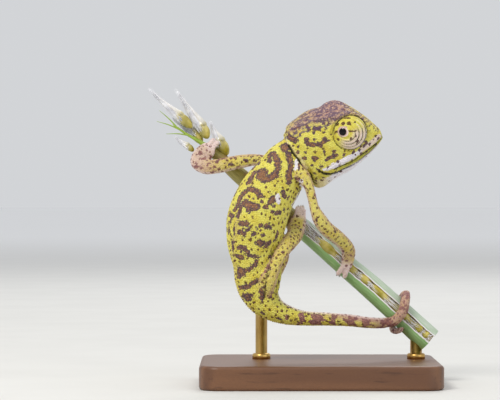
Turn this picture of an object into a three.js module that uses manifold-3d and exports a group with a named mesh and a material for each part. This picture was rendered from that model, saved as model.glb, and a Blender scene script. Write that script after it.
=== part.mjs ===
// A juvenile flap-necked chameleon gripping a cut length of grass stem, on a plain display stand.
// Millimetres, +Z up. The origin is the centre of the base's underside. The animal's right side
// faces -Y, its head points along +X, and the stem falls from the upper left to the lower right.
import * as THREE from "three";
import { LoftGeometry } from "three/addons/geometries/LoftGeometry.js";
import { mergeVertices } from "three/addons/utils/BufferGeometryUtils.js";
import Module from "manifold-3d";

const wasm = await Module();
wasm.setup();

// ---- Driving dimensions ----

const GAP = 0.08; // clear space between neighbouring pieces
const BODY_SIDES = 20; // facets round the trunk
const TAIL_SIDES = 10;
const LIMB_SIDES = 8;
const SMALL_SIDES = 6;

const BASE = { width: 30, depth: 22, thick: 3, corner: 2.5, bevel: 0.3 };
const ROD_RADIUS = 0.75;
const ROD_SIDES = 20;
const ROD_STATIONS = [5, 1.03]; // stations of the stem's axis that the rods hold
const PERCH_Y = 2.5; // the stem's plane, behind the centre of the base

const HEAD = {
  eye: [3.6, -2.7, 31.64], // midline point level with the eyes: the head's own origin
  pitch: 22, // degrees the snout points up
  roll: 16, // degrees the crown leans towards -Y
};
// The eye turret is a flattened dome: its radius in the head's side view and its bulge sideways.
const TURRET = { radius: 2.16, bulge: 1.85, side: 1.55, up: 0.44, sides: 16 };
// The eyeball fills the turret's opening. It looks `back` degrees behind the sideways direction.
const EYEBALL = { radius: 1.1, depth: 1.02, back: 27, sides: 12 };
const MOUTH = { corner: -4.75, backHeight: -2.95, tip: 4.2, tipHeight: -2.35 };

// ---- Solids ----

function solidOf(geometry) {
  const plain = new THREE.BufferGeometry();
  const loose = geometry.index ? geometry.toNonIndexed() : geometry;
  plain.setAttribute("position", loose.getAttribute("position").clone());
  const merged = mergeVertices(plain, 1e-4);
  return new wasm.Manifold(
    new wasm.Mesh({
      numProp: 3,
      vertProperties: merged.attributes.position.array,
      triVerts: new Uint32Array(merged.index.array),
    }),
  );
}

function geometryOf(solid) {
  const mesh = solid.getMesh();
  const geometry = new THREE.BufferGeometry();
  geometry.setAttribute("position", new THREE.BufferAttribute(mesh.vertProperties, mesh.numProp));
  geometry.setIndex(new THREE.BufferAttribute(mesh.triVerts, 1));
  geometry.computeVertexNormals();
  return geometry;
}

function joined(solids) {
  return solids.reduce((whole, next) => whole.add(next));
}

// A cut can leave crumbs: the piece is the biggest body.
function biggest(solid) {
  return solid.decompose().reduce((most, next) => (next.volume() > most.volume() ? next : most));
}

const vec = (place) => new THREE.Vector3(...place);
const radians = THREE.MathUtils.degToRad;

// The direction of the back: `lean` is its angle in the XZ plane, `turn` how far it faces -Y.
function backDirection(lean, turn) {
  const flat = Math.cos(radians(turn));
  return new THREE.Vector3(
    Math.cos(radians(lean)) * flat,
    -Math.sin(radians(turn)),
    Math.sin(radians(lean)) * flat,
  );
}

// Flesh is a smooth body round a bent centre line. A station holds its centre `at`, the half-sizes
// of its section towards the back, the belly and each side, and the direction of its back, `up`.
class Flesh {
  constructor(stations, sides) {
    this.sides = sides;
    this.last = stations.length - 1;
    this.line = new THREE.CatmullRomCurve3(stations.map((s) => vec(s.at)));
    this.sizes = new THREE.CatmullRomCurve3(
      stations.map((s) => new THREE.Vector3(s.back, s.belly, s.side)),
      false,
      "catmullrom",
    );
    this.ups = new THREE.CatmullRomCurve3(
      stations.map((s) => s.up),
      false,
      "catmullrom",
    );
  }

  // One ring of the surface, at a station number that need not be whole, `grow` outside it.
  ring(station, grow) {
    const t = station / this.last;
    const centre = this.line.getPoint(t);
    const along = this.line.getTangent(t);
    const size = this.sizes.getPoint(t);
    const up = this.ups.getPoint(t);
    up.addScaledVector(along, -up.dot(along)).normalize();
    const left = new THREE.Vector3().crossVectors(along, up);
    const points = [];
    for (let i = 0; i < this.sides; i++) {
      const angle = (2 * Math.PI * i) / this.sides;
      const high = Math.cos(angle);
      const reach = (high > 0 ? size.x : size.y) + grow;
      points.push(
        centre
          .clone()
          .addScaledVector(up, high * reach)
          .addScaledVector(left, Math.sin(angle) * (size.z + grow)),
      );
    }
    return points;
  }

  // The solid between two station numbers, with `steps` rings to each station.
  solid(from, to, { steps = 2, grow = 0 } = {}) {
    const count = Math.max(1, Math.round((to - from) * steps));
    const rings = [];
    for (let i = 0; i <= count; i++) {
      rings.push(this.ring(from + ((to - from) * i) / count, grow));
    }
    return solidOf(new LoftGeometry(rings, { capStart: true, capEnd: true }));
  }

  whole(options) {
    return this.solid(0, this.last, options);
  }

  // Cuts the flesh at the given station numbers, GAP wide, and returns the lengths in order.
  lengths(cuts, options) {
    const ends = [0, ...cuts, this.last];
    const length = this.line.getLength() / this.last;
    const half = GAP / 2 / length;
    return cuts.concat(this.last).map((end, i) => {
      const from = ends[i] + (i === 0 ? 0 : half);
      const to = end - (end === this.last ? 0 : half);
      return this.solid(from, to, options);
    });
  }
}

// ---- The stem ----

// Points of the stem's axis, from the cut end at the lower right to the seed head, with its radius.
const STEM_AXIS = [
  [14.1, PERCH_Y, 5.35],
  [12.5, PERCH_Y, 6.8],
  [6.95, PERCH_Y, 11.85],
  [3.8, PERCH_Y, 14.55],
  [-1.8, PERCH_Y, 19.4],
  [-7.3, PERCH_Y, 24.0],
  [-10.45, PERCH_Y, 26.65],
  [-13.95, PERCH_Y, 29.8],
];
const STEM_RADII = [1.66, 1.64, 1.54, 1.44, 1.27, 1.12, 1.02, 0.62];
const SHEATH_MOUTH = 4.1; // station where the leaf sheath ends
// The slit's angles run from -Y towards the stem's upper edge.
const SHEATH = { wall: 0.34, slitFrom: -10, slitTo: 28, sides: 11, rings: 5 };
const GRAIN = {
  stations: [0.25, 1.15, 1.62, 2.15, 2.75, 3.3],
  length: 0.44,
  radius: 0.56,
  forward: 0.4,
  upwards: 0.12,
};
const TOWARDS_VIEW = new THREE.Vector3(0, -1, 0);
const AWAY_FROM_VIEW = new THREE.Vector3(0, 1, 0);
const stemRun = new THREE.Vector3(0.743, 0, -0.669);
const stemUpper = new THREE.Vector3(0.669, 0, 0.743);

const stemFlesh = new Flesh(
  STEM_AXIS.map((at, i) => ({
    at,
    back: STEM_RADII[i],
    belly: STEM_RADII[i],
    side: STEM_RADII[i],
    up: TOWARDS_VIEW,
  })),
  14,
);
const stemWithGap = stemFlesh.whole({ steps: 1, grow: GAP });

// ---- Trunk and tail ----

const round = (at, radius, lean, turn) => ({
  at,
  back: radius,
  belly: radius,
  side: radius * 0.94,
  up: backDirection(lean, turn),
});
const oval = (at, back, side, lean, turn, belly = back) => ({
  at,
  back,
  belly,
  side,
  up: backDirection(lean, turn),
});

const trunkStations = [
  oval([-2.6, -2.7, 29.2], 2.6, 1.8, 140, 20, 2.2),
  oval([-3.9, -2.8, 27.6], 3.25, 2.3, 143, 24, 2.9),
  oval([-5.1, -3.0, 26.1], 3.3, 2.5, 154, 26, 3.45),
  oval([-6.6, -3.3, 24.0], 3.72, 2.8, 159, 32, 3.85),
  oval([-7.55, -3.5, 21.8], 4.05, 3.1, 165, 38),
  oval([-8.1, -3.5, 19.8], 3.98, 3.1, 171, 38),
  oval([-8.45, -3.3, 17.8], 3.3, 2.8, 175, 34),
  oval([-8.2, -2.9, 15.7], 2.85, 2.4, 182, 28),
  oval([-7.78, -2.5, 13.95], 3.08, 2.3, 188, 24),
  oval([-7.5, -2.3, 12.15], 2.76, 2.1, 195, 20, 2.68),
  oval([-6.9, -2.2, 10.65], 2.09, 1.7, 212, 16),
  oval([-5.6, -2.0, 9.45], 1.47, 1.3, 236, 12),
];
const tailStations = [
  round([-3.6, -1.7, 8.7], 1.12, 252, 8),
  round([-1.9, -1.4, 8.4], 0.9, 262, 4),
  round([1.3, -0.9, 8.25], 0.79, 268, 0),
  round([4.0, -0.5, 8.06], 0.73, 268, 0),
  round([6.0, -0.2, 7.8], 0.68, 264, 0),
];

// The tail's last turn: [angle round the stem from its upper edge, place along it, tail radius].
const WRAP_CENTRE = [10.35, PERCH_Y, 8.75];
const WRAP_REACH = 2.3;
const WRAP = [
  [155, -0.7, 0.64],
  [119, -0.1, 0.65],
  [82, -0.1, 0.65],
  [45, -0.75, 0.62],
  [0, -1.1, 0.56],
  [-50, -0.95, 0.52],
  [-100, -0.3, 0.48],
  [-145, 0.35, 0.44],
  [-185, 0.85, 0.4],
  [-215, 1.25, 0.37],
  [-238, 1.4, 0.28],
];

function wrapStation([angle, along, radius]) {
  const out = stemUpper
    .clone()
    .multiplyScalar(Math.cos(radians(angle)))
    .addScaledVector(TOWARDS_VIEW, Math.sin(radians(angle)));
  const reach = WRAP_REACH - 0.62 + radius;
  const at = vec(WRAP_CENTRE).addScaledVector(stemRun, along).addScaledVector(out, reach);
  return { at: at.toArray(), back: radius, belly: radius, side: radius, up: out };
}

const bodyStations = [...trunkStations, ...tailStations, ...WRAP.map(wrapStation)];
const TAIL_START = trunkStations.length - 2;
const trunkFlesh = new Flesh(bodyStations.slice(0, trunkStations.length + 2), BODY_SIDES);
const tailFlesh = new Flesh(bodyStations.slice(TAIL_START - 1), TAIL_SIDES);

// ---- Limbs ----

// A station of a limb: its place, half-width, half-thickness and the direction it is that thick in.
const bone = ([x, y, z, wide, thick, up = TOWARDS_VIEW]) => ({
  at: [x, y, z],
  back: thick,
  belly: thick,
  side: wide,
  up,
});
const limb = (rows, sides = LIMB_SIDES) => new Flesh(rows.map(bone), sides);

// Each limb from its root to its near bundle of toes, the stations it is cut at, which edge of the
// stem its palm lies on (1 for the upper, -1 for the lower), and how far its toes splay.
const LIMBS = [
  {
    rows: [
      [-3.3, -3.7, 27.4, 1.1, 1.0],
      [-2.3, -4.5, 26.3, 0.95, 0.85],
      [-1.5, -4.7, 25.0, 0.65, 0.62],
      [-1.1, -4.7, 23.6, 0.58, 0.58],
      [-0.75, -4.6, 22.2, 0.62, 0.62],
      [-0.1, -4.3, 20.8, 0.88, 0.78],
      [0.75, -3.6, 19.65, 0.93, 0.8],
      [1.8, -2.7, 18.82, 0.93, 0.78],
      [2.65, -1.6, 18.1, 0.9, 0.74],
      [3.42, -0.5, 17.25, 0.9, 0.64],
    ],
    near: [
      [3.68, 0.3, 16.6, 0.9, 0.55],
      [3.62, 0.4, 15.7, 0.82, 0.45],
      [3.4, 0.45, 14.9, 0.7, 0.42],
      [3.1, 0.6, 14.3, 0.5, 0.34],
    ],
    cuts: [4.6, 9],
    palm: 1,
    toes: { near: 2, far: 3 },
    splay: 0.18,
    names: ["upper_arm_right", "forearm_right", "hand_right_outer", "hand_right_inner"],
  },
  {
    rows: [
      [-5.2, -1.6, 26.8, 1.0, 0.9],
      [-6.4, -0.9, 27.8, 0.85, 0.8],
      [-8.0, -0.2, 28.25, 0.75, 0.72],
      [-9.6, 0.1, 28.1, 0.85, 0.75],
      [-11.2, 0.3, 27.8, 0.9, 0.75],
      [-12.8, 0.3, 27.48, 0.92, 0.72],
      [-14.3, 0.6, 27.4, 0.95, 0.68],
      [-15.35, 1.1, 27.95, 0.95, 0.62],
    ],
    near: [
      [-15.1, 1.25, 28.6, 1.1, 0.5],
      [-14.45, 1.0, 29.2, 1.15, 0.44],
      [-13.85, 1.0, 29.8, 0.95, 0.42],
      [-13.55, 1.15, 30.15, 0.64, 0.34],
    ],
    cuts: [3.2, 6.2],
    palm: -1,
    toes: { near: 2, far: 3 },
    splay: 0,
    names: ["upper_arm_left", "forearm_left", "hand_left_inner", "hand_left_outer"],
  },
  {
    rows: [
      [-7.3, -3.4, 12.0, 1.5, 1.1],
      [-6.6, -4.4, 13.1, 1.2, 0.9],
      [-5.95, -4.7, 14.5, 0.9, 0.82],
      [-5.2, -4.6, 16.05, 0.85, 0.78],
      [-4.5, -3.9, 17.1, 0.9, 0.75],
      [-3.75, -2.7, 18.0, 1.0, 0.72],
      [-3.15, -1.4, 18.8, 1.05, 0.68],
    ],
    near: [
      [-2.92, -0.2, 19.6, 1.12, 0.6],
      [-2.62, 0.45, 20.6, 1.0, 0.48],
      [-2.45, 0.6, 21.2, 0.8, 0.42],
      [-2.4, 0.75, 21.6, 0.52, 0.34],
    ],
    cuts: [3.2, 6.4],
    palm: -1,
    toes: { near: 3, far: 2 },
    splay: 0,
    names: ["thigh_right", "shank_right", "foot_right_outer", "foot_right_inner"],
  },
  {
    rows: [
      [-7.2, -1.4, 12.2, 1.4, 1.0],
      [-6.2, -0.5, 13.3, 1.1, 0.85],
      [-5.2, -0.1, 14.7, 0.85, 0.75],
      [-4.6, 0.0, 16.1, 0.8, 0.7],
      [-4.8, 0.2, 17.5, 0.78, 0.66],
      [-5.15, 0.4, 18.8, 0.78, 0.62],
      [-5.5, 0.6, 19.9, 0.8, 0.55],
    ],
    near: [
      [-5.45, 0.7, 20.8, 0.85, 0.45],
      [-5.0, 0.72, 21.6, 0.8, 0.42],
      [-4.6, 0.8, 22.2, 0.68, 0.4],
      [-4.35, 0.92, 22.5, 0.5, 0.34],
    ],
    cuts: [3.2, 6.4],
    palm: -1,
    toes: { near: 2, far: 3 },
    splay: 0.05,
    names: ["thigh_left", "shank_left", "foot_left_inner", "foot_left_outer"],
  },
];

const TOE = { sides: 5, radius: 0.29, length: 1.3, claw: 0.4, clawRadius: 0.13 };
// How far the outer toes stand to each side of a bundle's middle, by how many toes it has, and how
// long its toes are, as shares of the longest.
const TOE_SPREAD = { 2: 0.31, 3: 0.43 };
const TOE_SHARES = { 2: [0.94, 1], 3: [0.8, 1, 0.72] };

// The toes of one bundle lie side by side and bend round the stem, each ending in a claw.
function toes(bundle, count, bend, splay, grow = 0) {
  const end = bundle.line.getPoint(1);
  const along = bundle.line.getTangent(1);
  const across = new THREE.Vector3().crossVectors(along, TOWARDS_VIEW).normalize();
  const spread = TOE_SPREAD[count];
  const solids = [];
  for (let i = 0; i < count; i++) {
    const place = (2 * i) / (count - 1) - 1;
    const root = end.clone().addScaledVector(across, place * spread).addScaledVector(along, -0.35);
    const tip = root
      .clone()
      .addScaledVector(along, TOE.length * TOE_SHARES[count][i])
      .addScaledVector(bend, 0.3)
      .addScaledVector(across, place * splay);
    const point = tip
      .clone()
      .addScaledVector(along, TOE.claw * 0.6)
      .addScaledVector(bend, TOE.claw * 0.8);
    const rows = [
      [root, TOE.radius],
      [root.clone().lerp(tip, 0.5).addScaledVector(bend, -0.05), TOE.radius * 1.05],
      [tip, TOE.radius * 0.85],
      [tip.clone().lerp(point, 0.35), TOE.clawRadius],
      [point, 0.03],
    ].map(([at, radius]) => bone([...at.toArray(), radius, radius]));
    solids.push(new Flesh(rows, TOE.sides).whole({ steps: 1, grow }));
  }
  return joined(solids);
}

// The far bundle is the near one mirrored across the stem's plane, from a palm that passes the
// stem's edge on the side that `out` points to.
function farRows(near, out) {
  const [x, y, z, wide, thick] = near[0];
  const behind = near.map(([nx, ny, nz, w, t]) => [nx, 2 * PERCH_Y - ny, nz, w, t, AWAY_FROM_VIEW]);
  const palm = [
    [x - out.x * 0.1, y + 0.1, z - out.z * 0.1, wide * 0.8, thick * 0.9, out],
    [x + out.x * 0.3, (y + PERCH_Y) / 2, z + out.z * 0.3, wide * 0.9, thick, out],
    [x + out.x * 0.45, PERCH_Y, z + out.z * 0.45, wide * 0.9, thick, out],
    [x + out.x * 0.3, 1.5 * PERCH_Y - y / 2, z + out.z * 0.3, wide * 0.9, thick, out],
  ];
  return [...palm, ...behind];
}

// ---- The head ----

// The head's own axes: `ahead` along the snout, `crown` up, `left` to the animal's left.
const ahead = new THREE.Vector3(Math.cos(radians(HEAD.pitch)), 0, Math.sin(radians(HEAD.pitch)));
const crown = backDirection(90 + HEAD.pitch, HEAD.roll);
const left = new THREE.Vector3().crossVectors(crown, ahead);

function headPoint(forward, side, up) {
  return vec(HEAD.eye)
    .addScaledVector(ahead, forward)
    .addScaledVector(left, side)
    .addScaledVector(crown, up);
}

// A head section: how far forward it is and how much it slants, then half-widths and heights of
// the crown, the brow or side crest, the cheek, the jaw and the throat.
const headSection = (forward, slant, top, crest, cheek, jaw, throat) => ({
  forward,
  slant,
  top,
  crest,
  cheek,
  jaw,
  throat,
});
const headSections = [
  headSection(-7.4, 0.17, 2.4, [0.35, 2.2], [0.6, 0.4], [0.5, -2.9], -4.1),
  headSection(-7.15, 0.17, 2.85, [0.8, 2.6], [1.45, 0.4], [1.2, -3.4], -5.05),
  headSection(-6.3, 0.16, 3.6, [1.25, 3.2], [2.1, 0.3], [1.7, -3.3], -5.3),
  headSection(-5.0, 0.14, 4.2, [1.5, 3.65], [2.45, 0.2], [2.0, -3.1], -5.0),
  headSection(-3.4, 0.1, 4.62, [1.75, 3.75], [2.5, 0.2], [2.0, -3.0], -4.72),
  headSection(-2.0, 0.08, 4.45, [1.8, 3.6], [2.4, 0.25], [1.95, -3.0], -4.55),
  headSection(-1.0, 0.05, 4.7, [1.95, 3.5], [2.4, 0.3], [1.85, -3.0], -4.35),
  headSection(0.2, 0.02, 4.4, [1.9, 3.2], [2.2, 0.2], [1.6, -2.9], -4.0),
  headSection(1.4, 0, 3.0, [1.4, 2.4], [1.75, -0.4], [1.35, -2.75], -3.62),
  headSection(2.6, 0, 1.25, [0.95, 0.9], [1.3, -0.9], [1.0, -2.5], -3.1),
  headSection(3.35, 0, -0.2, [0.6, -0.4], [0.85, -1.3], [0.65, -2.3], -2.62),
  headSection(3.75, 0, -1.05, [0.25, -1.15], [0.4, -1.6], [0.28, -2.1], -2.25),
];
const HEAD_SIDES = 24;

function headRing({ forward, slant, top, crest, cheek, jaw, throat }, grow) {
  const half = [
    [0, top],
    [crest[0] * 0.55, top * 0.6 + crest[1] * 0.4],
    crest,
    [cheek[0] * 0.96, (crest[1] + cheek[1]) / 2],
    cheek,
    [cheek[0] * 0.94, (cheek[1] + jaw[1]) / 2],
    jaw,
    [jaw[0] * 0.5, throat * 0.75 + jaw[1] * 0.25],
    [0, throat],
  ];
  const other = half.slice(1, -1).reverse();
  const outline = new THREE.CatmullRomCurve3(
    [...half.map(([s, u]) => [s, u]), ...other.map(([s, u]) => [-s, u])].map(([s, u]) =>
      headPoint(forward - slant * u, s, u),
    ),
    true,
  );
  const centre = headPoint(forward, 0, (top + throat) / 2);
  const points = [];
  for (let i = 0; i < HEAD_SIDES; i++) {
    const point = outline.getPoint(1 - i / HEAD_SIDES);
    point.add(point.clone().sub(centre).setLength(grow));
    points.push(point);
  }
  return points;
}

function headSolid(grow) {
  const rings = headSections.map((section) => headRing(section, grow));
  rings[0].forEach((point) => point.addScaledVector(ahead, -grow));
  return solidOf(new LoftGeometry(rings, { capStart: true, capEnd: true }));
}

// Below the mouth line, from its corner to past the snout: the space of the lower jaw.
function belowMouth(raise) {
  const half = 4;
  const deep = -9;
  const outline = [
    [MOUTH.corner - raise, MOUTH.backHeight + raise],
    [MOUTH.tip + 2, MOUTH.tipHeight + raise + 0.1],
    [MOUTH.tip + 2, deep],
    [MOUTH.corner - raise + 0.9, deep],
  ];
  const side = (s) => outline.map(([forward, up]) => headPoint(forward, s, up));
  return solidOf(new LoftGeometry([side(-half), side(half)], { capStart: true, capEnd: true }));
}

// A sphere or dome whose three half-sizes lie along the head's own axes.
function ball(centre, radius, sides, bulge = radius) {
  const geometry = new THREE.SphereGeometry(radius, sides, sides / 2);
  const turned = new THREE.Matrix4().makeBasis(ahead, crown, left.clone().negate());
  geometry.rotateX(Math.PI / 2);
  geometry.scale(1, 1, bulge / radius);
  geometry.applyMatrix4(turned);
  geometry.translate(...centre.toArray());
  return solidOf(geometry);
}

// side is -1 for the right eye and 1 for the left.
function eyeSolids(side, head) {
  const { sides, radius, bulge } = TURRET;
  const middle = headPoint(0, side * TURRET.side, TURRET.up);
  const back = radians(EYEBALL.back);
  const gaze = new THREE.Vector3(-Math.sin(back), side * Math.cos(back), 0);
  const eyeAt = middle.clone().addScaledVector(gaze, bulge - EYEBALL.depth);
  const socket = ball(eyeAt, EYEBALL.radius + GAP / 2, EYEBALL.sides);
  const turret = ball(middle, radius, sides, bulge).subtract(socket).subtract(head);
  const eyeball = ball(eyeAt, EYEBALL.radius, EYEBALL.sides).subtract(head);
  return { turret: biggest(turret), eyeball: biggest(eyeball) };
}

// ---- The seed head ----

// A spikelet: its base, the tip of its plump body, the tip of its silk and the body's radius.
const SPIKELETS = [
  { base: [-11.6, 28.9], body: [-12.9, 31.2], silk: [-13.7, 33.2], radius: 0.76, y: 0.2 },
  { base: [-14.1, 31.0], body: [-15.1, 33.1], silk: [-18.1, 37.3], radius: 0.7, y: 0.3 },
  { base: [-14.9, 30.4], body: [-16.1, 32.3], silk: [-18.7, 33.9], radius: 0.64, y: -0.9 },
  { base: [-16.1, 32.4], body: [-18.2, 34.3], silk: [-21.6, 37.4], radius: 0.66, y: 0.5 },
  { base: [-15.9, 29.4], body: [-16.9, 30.3], silk: [-18.3, 31.3], radius: 0.4, y: 0.6 },
];
const RACHIS = [
  [-13.95, 29.8, 0.6],
  [-15.4, 30.75, 0.34],
  [-17.0, 31.7, 0.3],
  [-18.6, 32.85, 0.28],
];

function spikelet({ base, body, silk, radius, y }, grow = 0) {
  const [bx, bz] = base;
  const root = new THREE.Vector3(bx, PERCH_Y - y * 0.6, bz);
  const tip = new THREE.Vector3(body[0], PERCH_Y - y, body[1]);
  const end = new THREE.Vector3(silk[0], PERCH_Y - y, silk[1]);
  const rows = [
    [root, 0.25],
    [root.clone().lerp(tip, 0.25), radius * 0.85],
    [root.clone().lerp(tip, 0.55), radius],
    [tip, radius * 0.6],
    [tip.clone().lerp(end, 0.5), radius * 0.32],
    [end, 0.06],
  ].map(([at, r]) => bone([...at.toArray(), r, r * 0.9]));
  return new Flesh(rows, SMALL_SIDES + 2).whole({ steps: 1, grow });
}

// ---- The model ----

const model = new THREE.Group();
const materials = {
  skin: new THREE.MeshStandardMaterial({ color: 0xdbd449, roughness: 0.6, metalness: 0 }),
  eye: new THREE.MeshStandardMaterial({ color: 0x14110f, roughness: 0.12, metalness: 0 }),
  stem: new THREE.MeshStandardMaterial({ color: 0xa8c98a, roughness: 0.55, metalness: 0 }),
  grain: new THREE.MeshStandardMaterial({ color: 0xb09a20, roughness: 0.5, metalness: 0 }),
  wood: new THREE.MeshStandardMaterial({ color: 0x4a3324, roughness: 0.5, metalness: 0 }),
  brass: new THREE.MeshStandardMaterial({ color: 0xb8954a, roughness: 0.3, metalness: 1 }),
};

function place(name, solid, material) {
  const mesh = new THREE.Mesh(geometryOf(solid), materials[material].clone());
  mesh.name = name;
  model.add(mesh);
}

function addBody() {
  const head = headSolid(0);
  const headWithGap = headSolid(GAP);
  const [right, leftEye] = [eyeSolids(-1, headWithGap), eyeSolids(1, headWithGap)];
  place("head", head.subtract(belowMouth(GAP / 2)), "skin");
  place("lower_jaw", head.intersect(belowMouth(-GAP / 2)), "skin");
  place("eye_turret_right", right.turret, "skin");
  place("eyeball_right", right.eyeball, "eye");
  place("eye_turret_left", leftEye.turret, "skin");
  place("eyeball_left", leftEye.eyeball, "eye");

  const [neck, chest, belly, pelvis] = trunkFlesh
    .lengths([1.6, 3.6, 6.4, TAIL_START], { steps: 2 })
    .slice(0, 4);
  place("neck", neck.subtract(headWithGap), "skin");
  place("chest", chest, "skin");
  place("belly", belly, "skin");
  place("pelvis", pelvis, "skin");

  const tail = tailFlesh.lengths([1, 3, 4.5, 6.5, 11], { steps: 2 }).slice(1);
  tail.forEach((length, i) => place("tail_" + (i + 1), length, "skin"));
}

// Adds the four limbs and returns the left hand with GAP round it, which the seed head is cut by.
function addLimbs() {
  const trunkWithGap = trunkFlesh.whole({ steps: 2, grow: GAP });
  const handsWithGap = [];
  for (const { rows, near, cuts, palm, toes: counts, splay, names } of LIMBS) {
    const flesh = limb([...rows, ...near]);
    const [upper, lower, bundle] = flesh.lengths(cuts, { steps: 2 });
    const far = limb(farRows(near, stemUpper.clone().multiplyScalar(palm)), SMALL_SIDES);
    const nearSolid = bundle.add(toes(flesh, counts.near, AWAY_FROM_VIEW, splay)).subtract(stemWithGap);
    const nearWithGap = flesh
      .solid(cuts[1] - 1, flesh.last, { grow: GAP })
      .add(toes(flesh, counts.near, AWAY_FROM_VIEW, splay, GAP));
    const farSolid = far
      .whole({ steps: 1 })
      .add(toes(far, counts.far, TOWARDS_VIEW, splay))
      .subtract(stemWithGap)
      .subtract(nearWithGap);
    const farWithGap = far
      .whole({ steps: 1, grow: GAP })
      .add(toes(far, counts.far, TOWARDS_VIEW, splay, GAP));
    place(names[0], biggest(upper.subtract(trunkWithGap)), "skin");
    place(names[1], biggest(lower), "skin");
    place(names[2], biggest(nearSolid), "skin");
    place(names[3], biggest(farSolid), "skin");
    handsWithGap.push(nearWithGap.add(farWithGap));
  }
  return joined(handsWithGap);
}

// The leaf sheath is a rolled wall round the stem's hollow, open along a slit that faces the view.
function sheathRing(station) {
  const t = station / stemFlesh.last;
  const centre = stemFlesh.line.getPoint(t);
  const along = stemFlesh.line.getTangent(t);
  const across = new THREE.Vector3().crossVectors(along, TOWARDS_VIEW);
  const outer = stemFlesh.sizes.getPoint(t).x;
  const arc = (radius, from, to) => {
    const points = [];
    for (let i = 0; i <= SHEATH.sides; i++) {
      const angle = radians(from + ((to - from) * i) / SHEATH.sides);
      points.push(
        centre
          .clone()
          .addScaledVector(TOWARDS_VIEW, Math.cos(angle) * radius)
          .addScaledVector(across, Math.sin(angle) * radius),
      );
    }
    return points;
  };
  const { slitFrom, slitTo, wall } = SHEATH;
  return [
    ...arc(outer, slitTo, slitFrom + 360),
    ...arc(outer - wall, slitFrom + 360 - 2, slitTo + 2),
  ];
}

function sheathSolid() {
  const rings = [];
  for (let i = 0; i <= SHEATH.rings; i++) {
    rings.push(sheathRing((SHEATH_MOUTH * i) / SHEATH.rings));
  }
  return solidOf(new LoftGeometry(rings, { capStart: true, capEnd: true }));
}

// A grain fills the hollow behind the slit between two stations.
function grainSolid(from, to) {
  const rows = [0, 0.12, 0.3, 0.5, 0.7, 0.88, 1].map((share) => {
    const t = (from + (to - from) * share) / stemFlesh.last;
    const radius = GRAIN.radius * (0.35 + 0.65 * Math.sin(Math.PI * share));
    const at = stemFlesh.line.getPoint(t).addScaledVector(TOWARDS_VIEW, GRAIN.forward);
    at.addScaledVector(stemUpper, GRAIN.upwards);
    return bone([...at.toArray(), radius, radius]);
  });
  return new Flesh(rows, SMALL_SIDES).whole({ steps: 1 });
}

function addPerch(handsWithGap) {
  place("perch_sheath", sheathSolid(), "stem");
  GRAIN.stations.forEach((station, i) => {
    place("perch_grain_" + (i + 1), grainSolid(station, station + GRAIN.length), "grain");
  });
  const culm = stemFlesh.solid(SHEATH_MOUTH + 0.02, stemFlesh.last, { steps: 1 });
  place("perch_culm", culm, "stem");

  const rachis = (grow) =>
    limb(
      RACHIS.map(([x, z, radius]) => [x, PERCH_Y, z, radius + grow, radius + grow]),
      SMALL_SIDES,
    );
  const rachisSolid = rachis(0).whole().subtract(stemWithGap).subtract(handsWithGap);
  place("perch_rachis", biggest(rachisSolid), "stem");
  let taken = stemWithGap.add(rachis(GAP).whole()).add(handsWithGap);
  SPIKELETS.forEach((sizes, i) => {
    place("perch_spikelet_" + (i + 1), biggest(spikelet(sizes).subtract(taken)), "grain");
    taken = taken.add(spikelet(sizes, GAP));
  });
}

function addStand() {
  const { width, depth, thick, corner, bevel } = BASE;
  const [x, y] = [width / 2 - bevel, depth / 2 - bevel];
  const outline = new THREE.Shape();
  outline.moveTo(-x + corner, -y);
  outline.lineTo(x - corner, -y);
  outline.absarc(x - corner, -y + corner, corner, -Math.PI / 2, 0);
  outline.lineTo(x, y - corner);
  outline.absarc(x - corner, y - corner, corner, 0, Math.PI / 2);
  outline.lineTo(-x + corner, y);
  outline.absarc(-x + corner, y - corner, corner, Math.PI / 2, Math.PI);
  outline.lineTo(-x, -y + corner);
  outline.absarc(-x + corner, -y + corner, corner, Math.PI, 1.5 * Math.PI);
  const slab = new THREE.ExtrudeGeometry(outline, {
    depth: thick - 2 * bevel,
    bevelThickness: bevel,
    bevelSize: bevel,
    bevelSegments: 1,
    curveSegments: 2,
  });
  slab.translate(0, 0, bevel);
  place("stand_base", solidOf(slab), "wood");

  ROD_STATIONS.forEach((station, i) => {
    const top = stemFlesh.line.getPoint(station / stemFlesh.last);
    const foot = thick + GAP;
    const rod = new THREE.CylinderGeometry(ROD_RADIUS, ROD_RADIUS, top.z - foot, ROD_SIDES);
    rod.rotateX(Math.PI / 2);
    rod.translate(top.x, PERCH_Y, (top.z + foot) / 2);
    place("stand_rod_" + (i + 1), biggest(solidOf(rod).subtract(stemWithGap)), "brass");
  });
}

addBody();
addPerch(addLimbs());
addStand();

export default model;
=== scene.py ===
"""A young flap-necked chameleon gripping a cut grass stem, held over a flat base by two rods.

Shapes are worked out in millimetres in the model's own frame: +Z up, the animal's right side
towards -Y, its head towards +X. mesh_object turns them into metres.
"""

import bpy
import numpy as np
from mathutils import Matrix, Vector
from mathutils.bvhtree import BVHTree
from mathutils.kdtree import KDTree


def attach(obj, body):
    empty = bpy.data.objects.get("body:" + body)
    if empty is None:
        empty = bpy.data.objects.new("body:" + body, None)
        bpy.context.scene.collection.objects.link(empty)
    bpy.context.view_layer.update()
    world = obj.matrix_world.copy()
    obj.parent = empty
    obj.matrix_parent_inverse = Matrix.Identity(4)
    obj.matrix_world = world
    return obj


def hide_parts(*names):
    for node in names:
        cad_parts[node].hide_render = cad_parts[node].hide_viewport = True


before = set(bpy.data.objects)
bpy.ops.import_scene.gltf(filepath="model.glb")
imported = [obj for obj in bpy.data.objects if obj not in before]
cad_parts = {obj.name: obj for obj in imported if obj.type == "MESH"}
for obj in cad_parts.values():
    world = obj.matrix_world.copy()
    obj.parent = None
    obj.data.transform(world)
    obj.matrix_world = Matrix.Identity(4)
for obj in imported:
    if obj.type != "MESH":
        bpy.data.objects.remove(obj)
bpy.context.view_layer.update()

MM = 0.001
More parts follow.
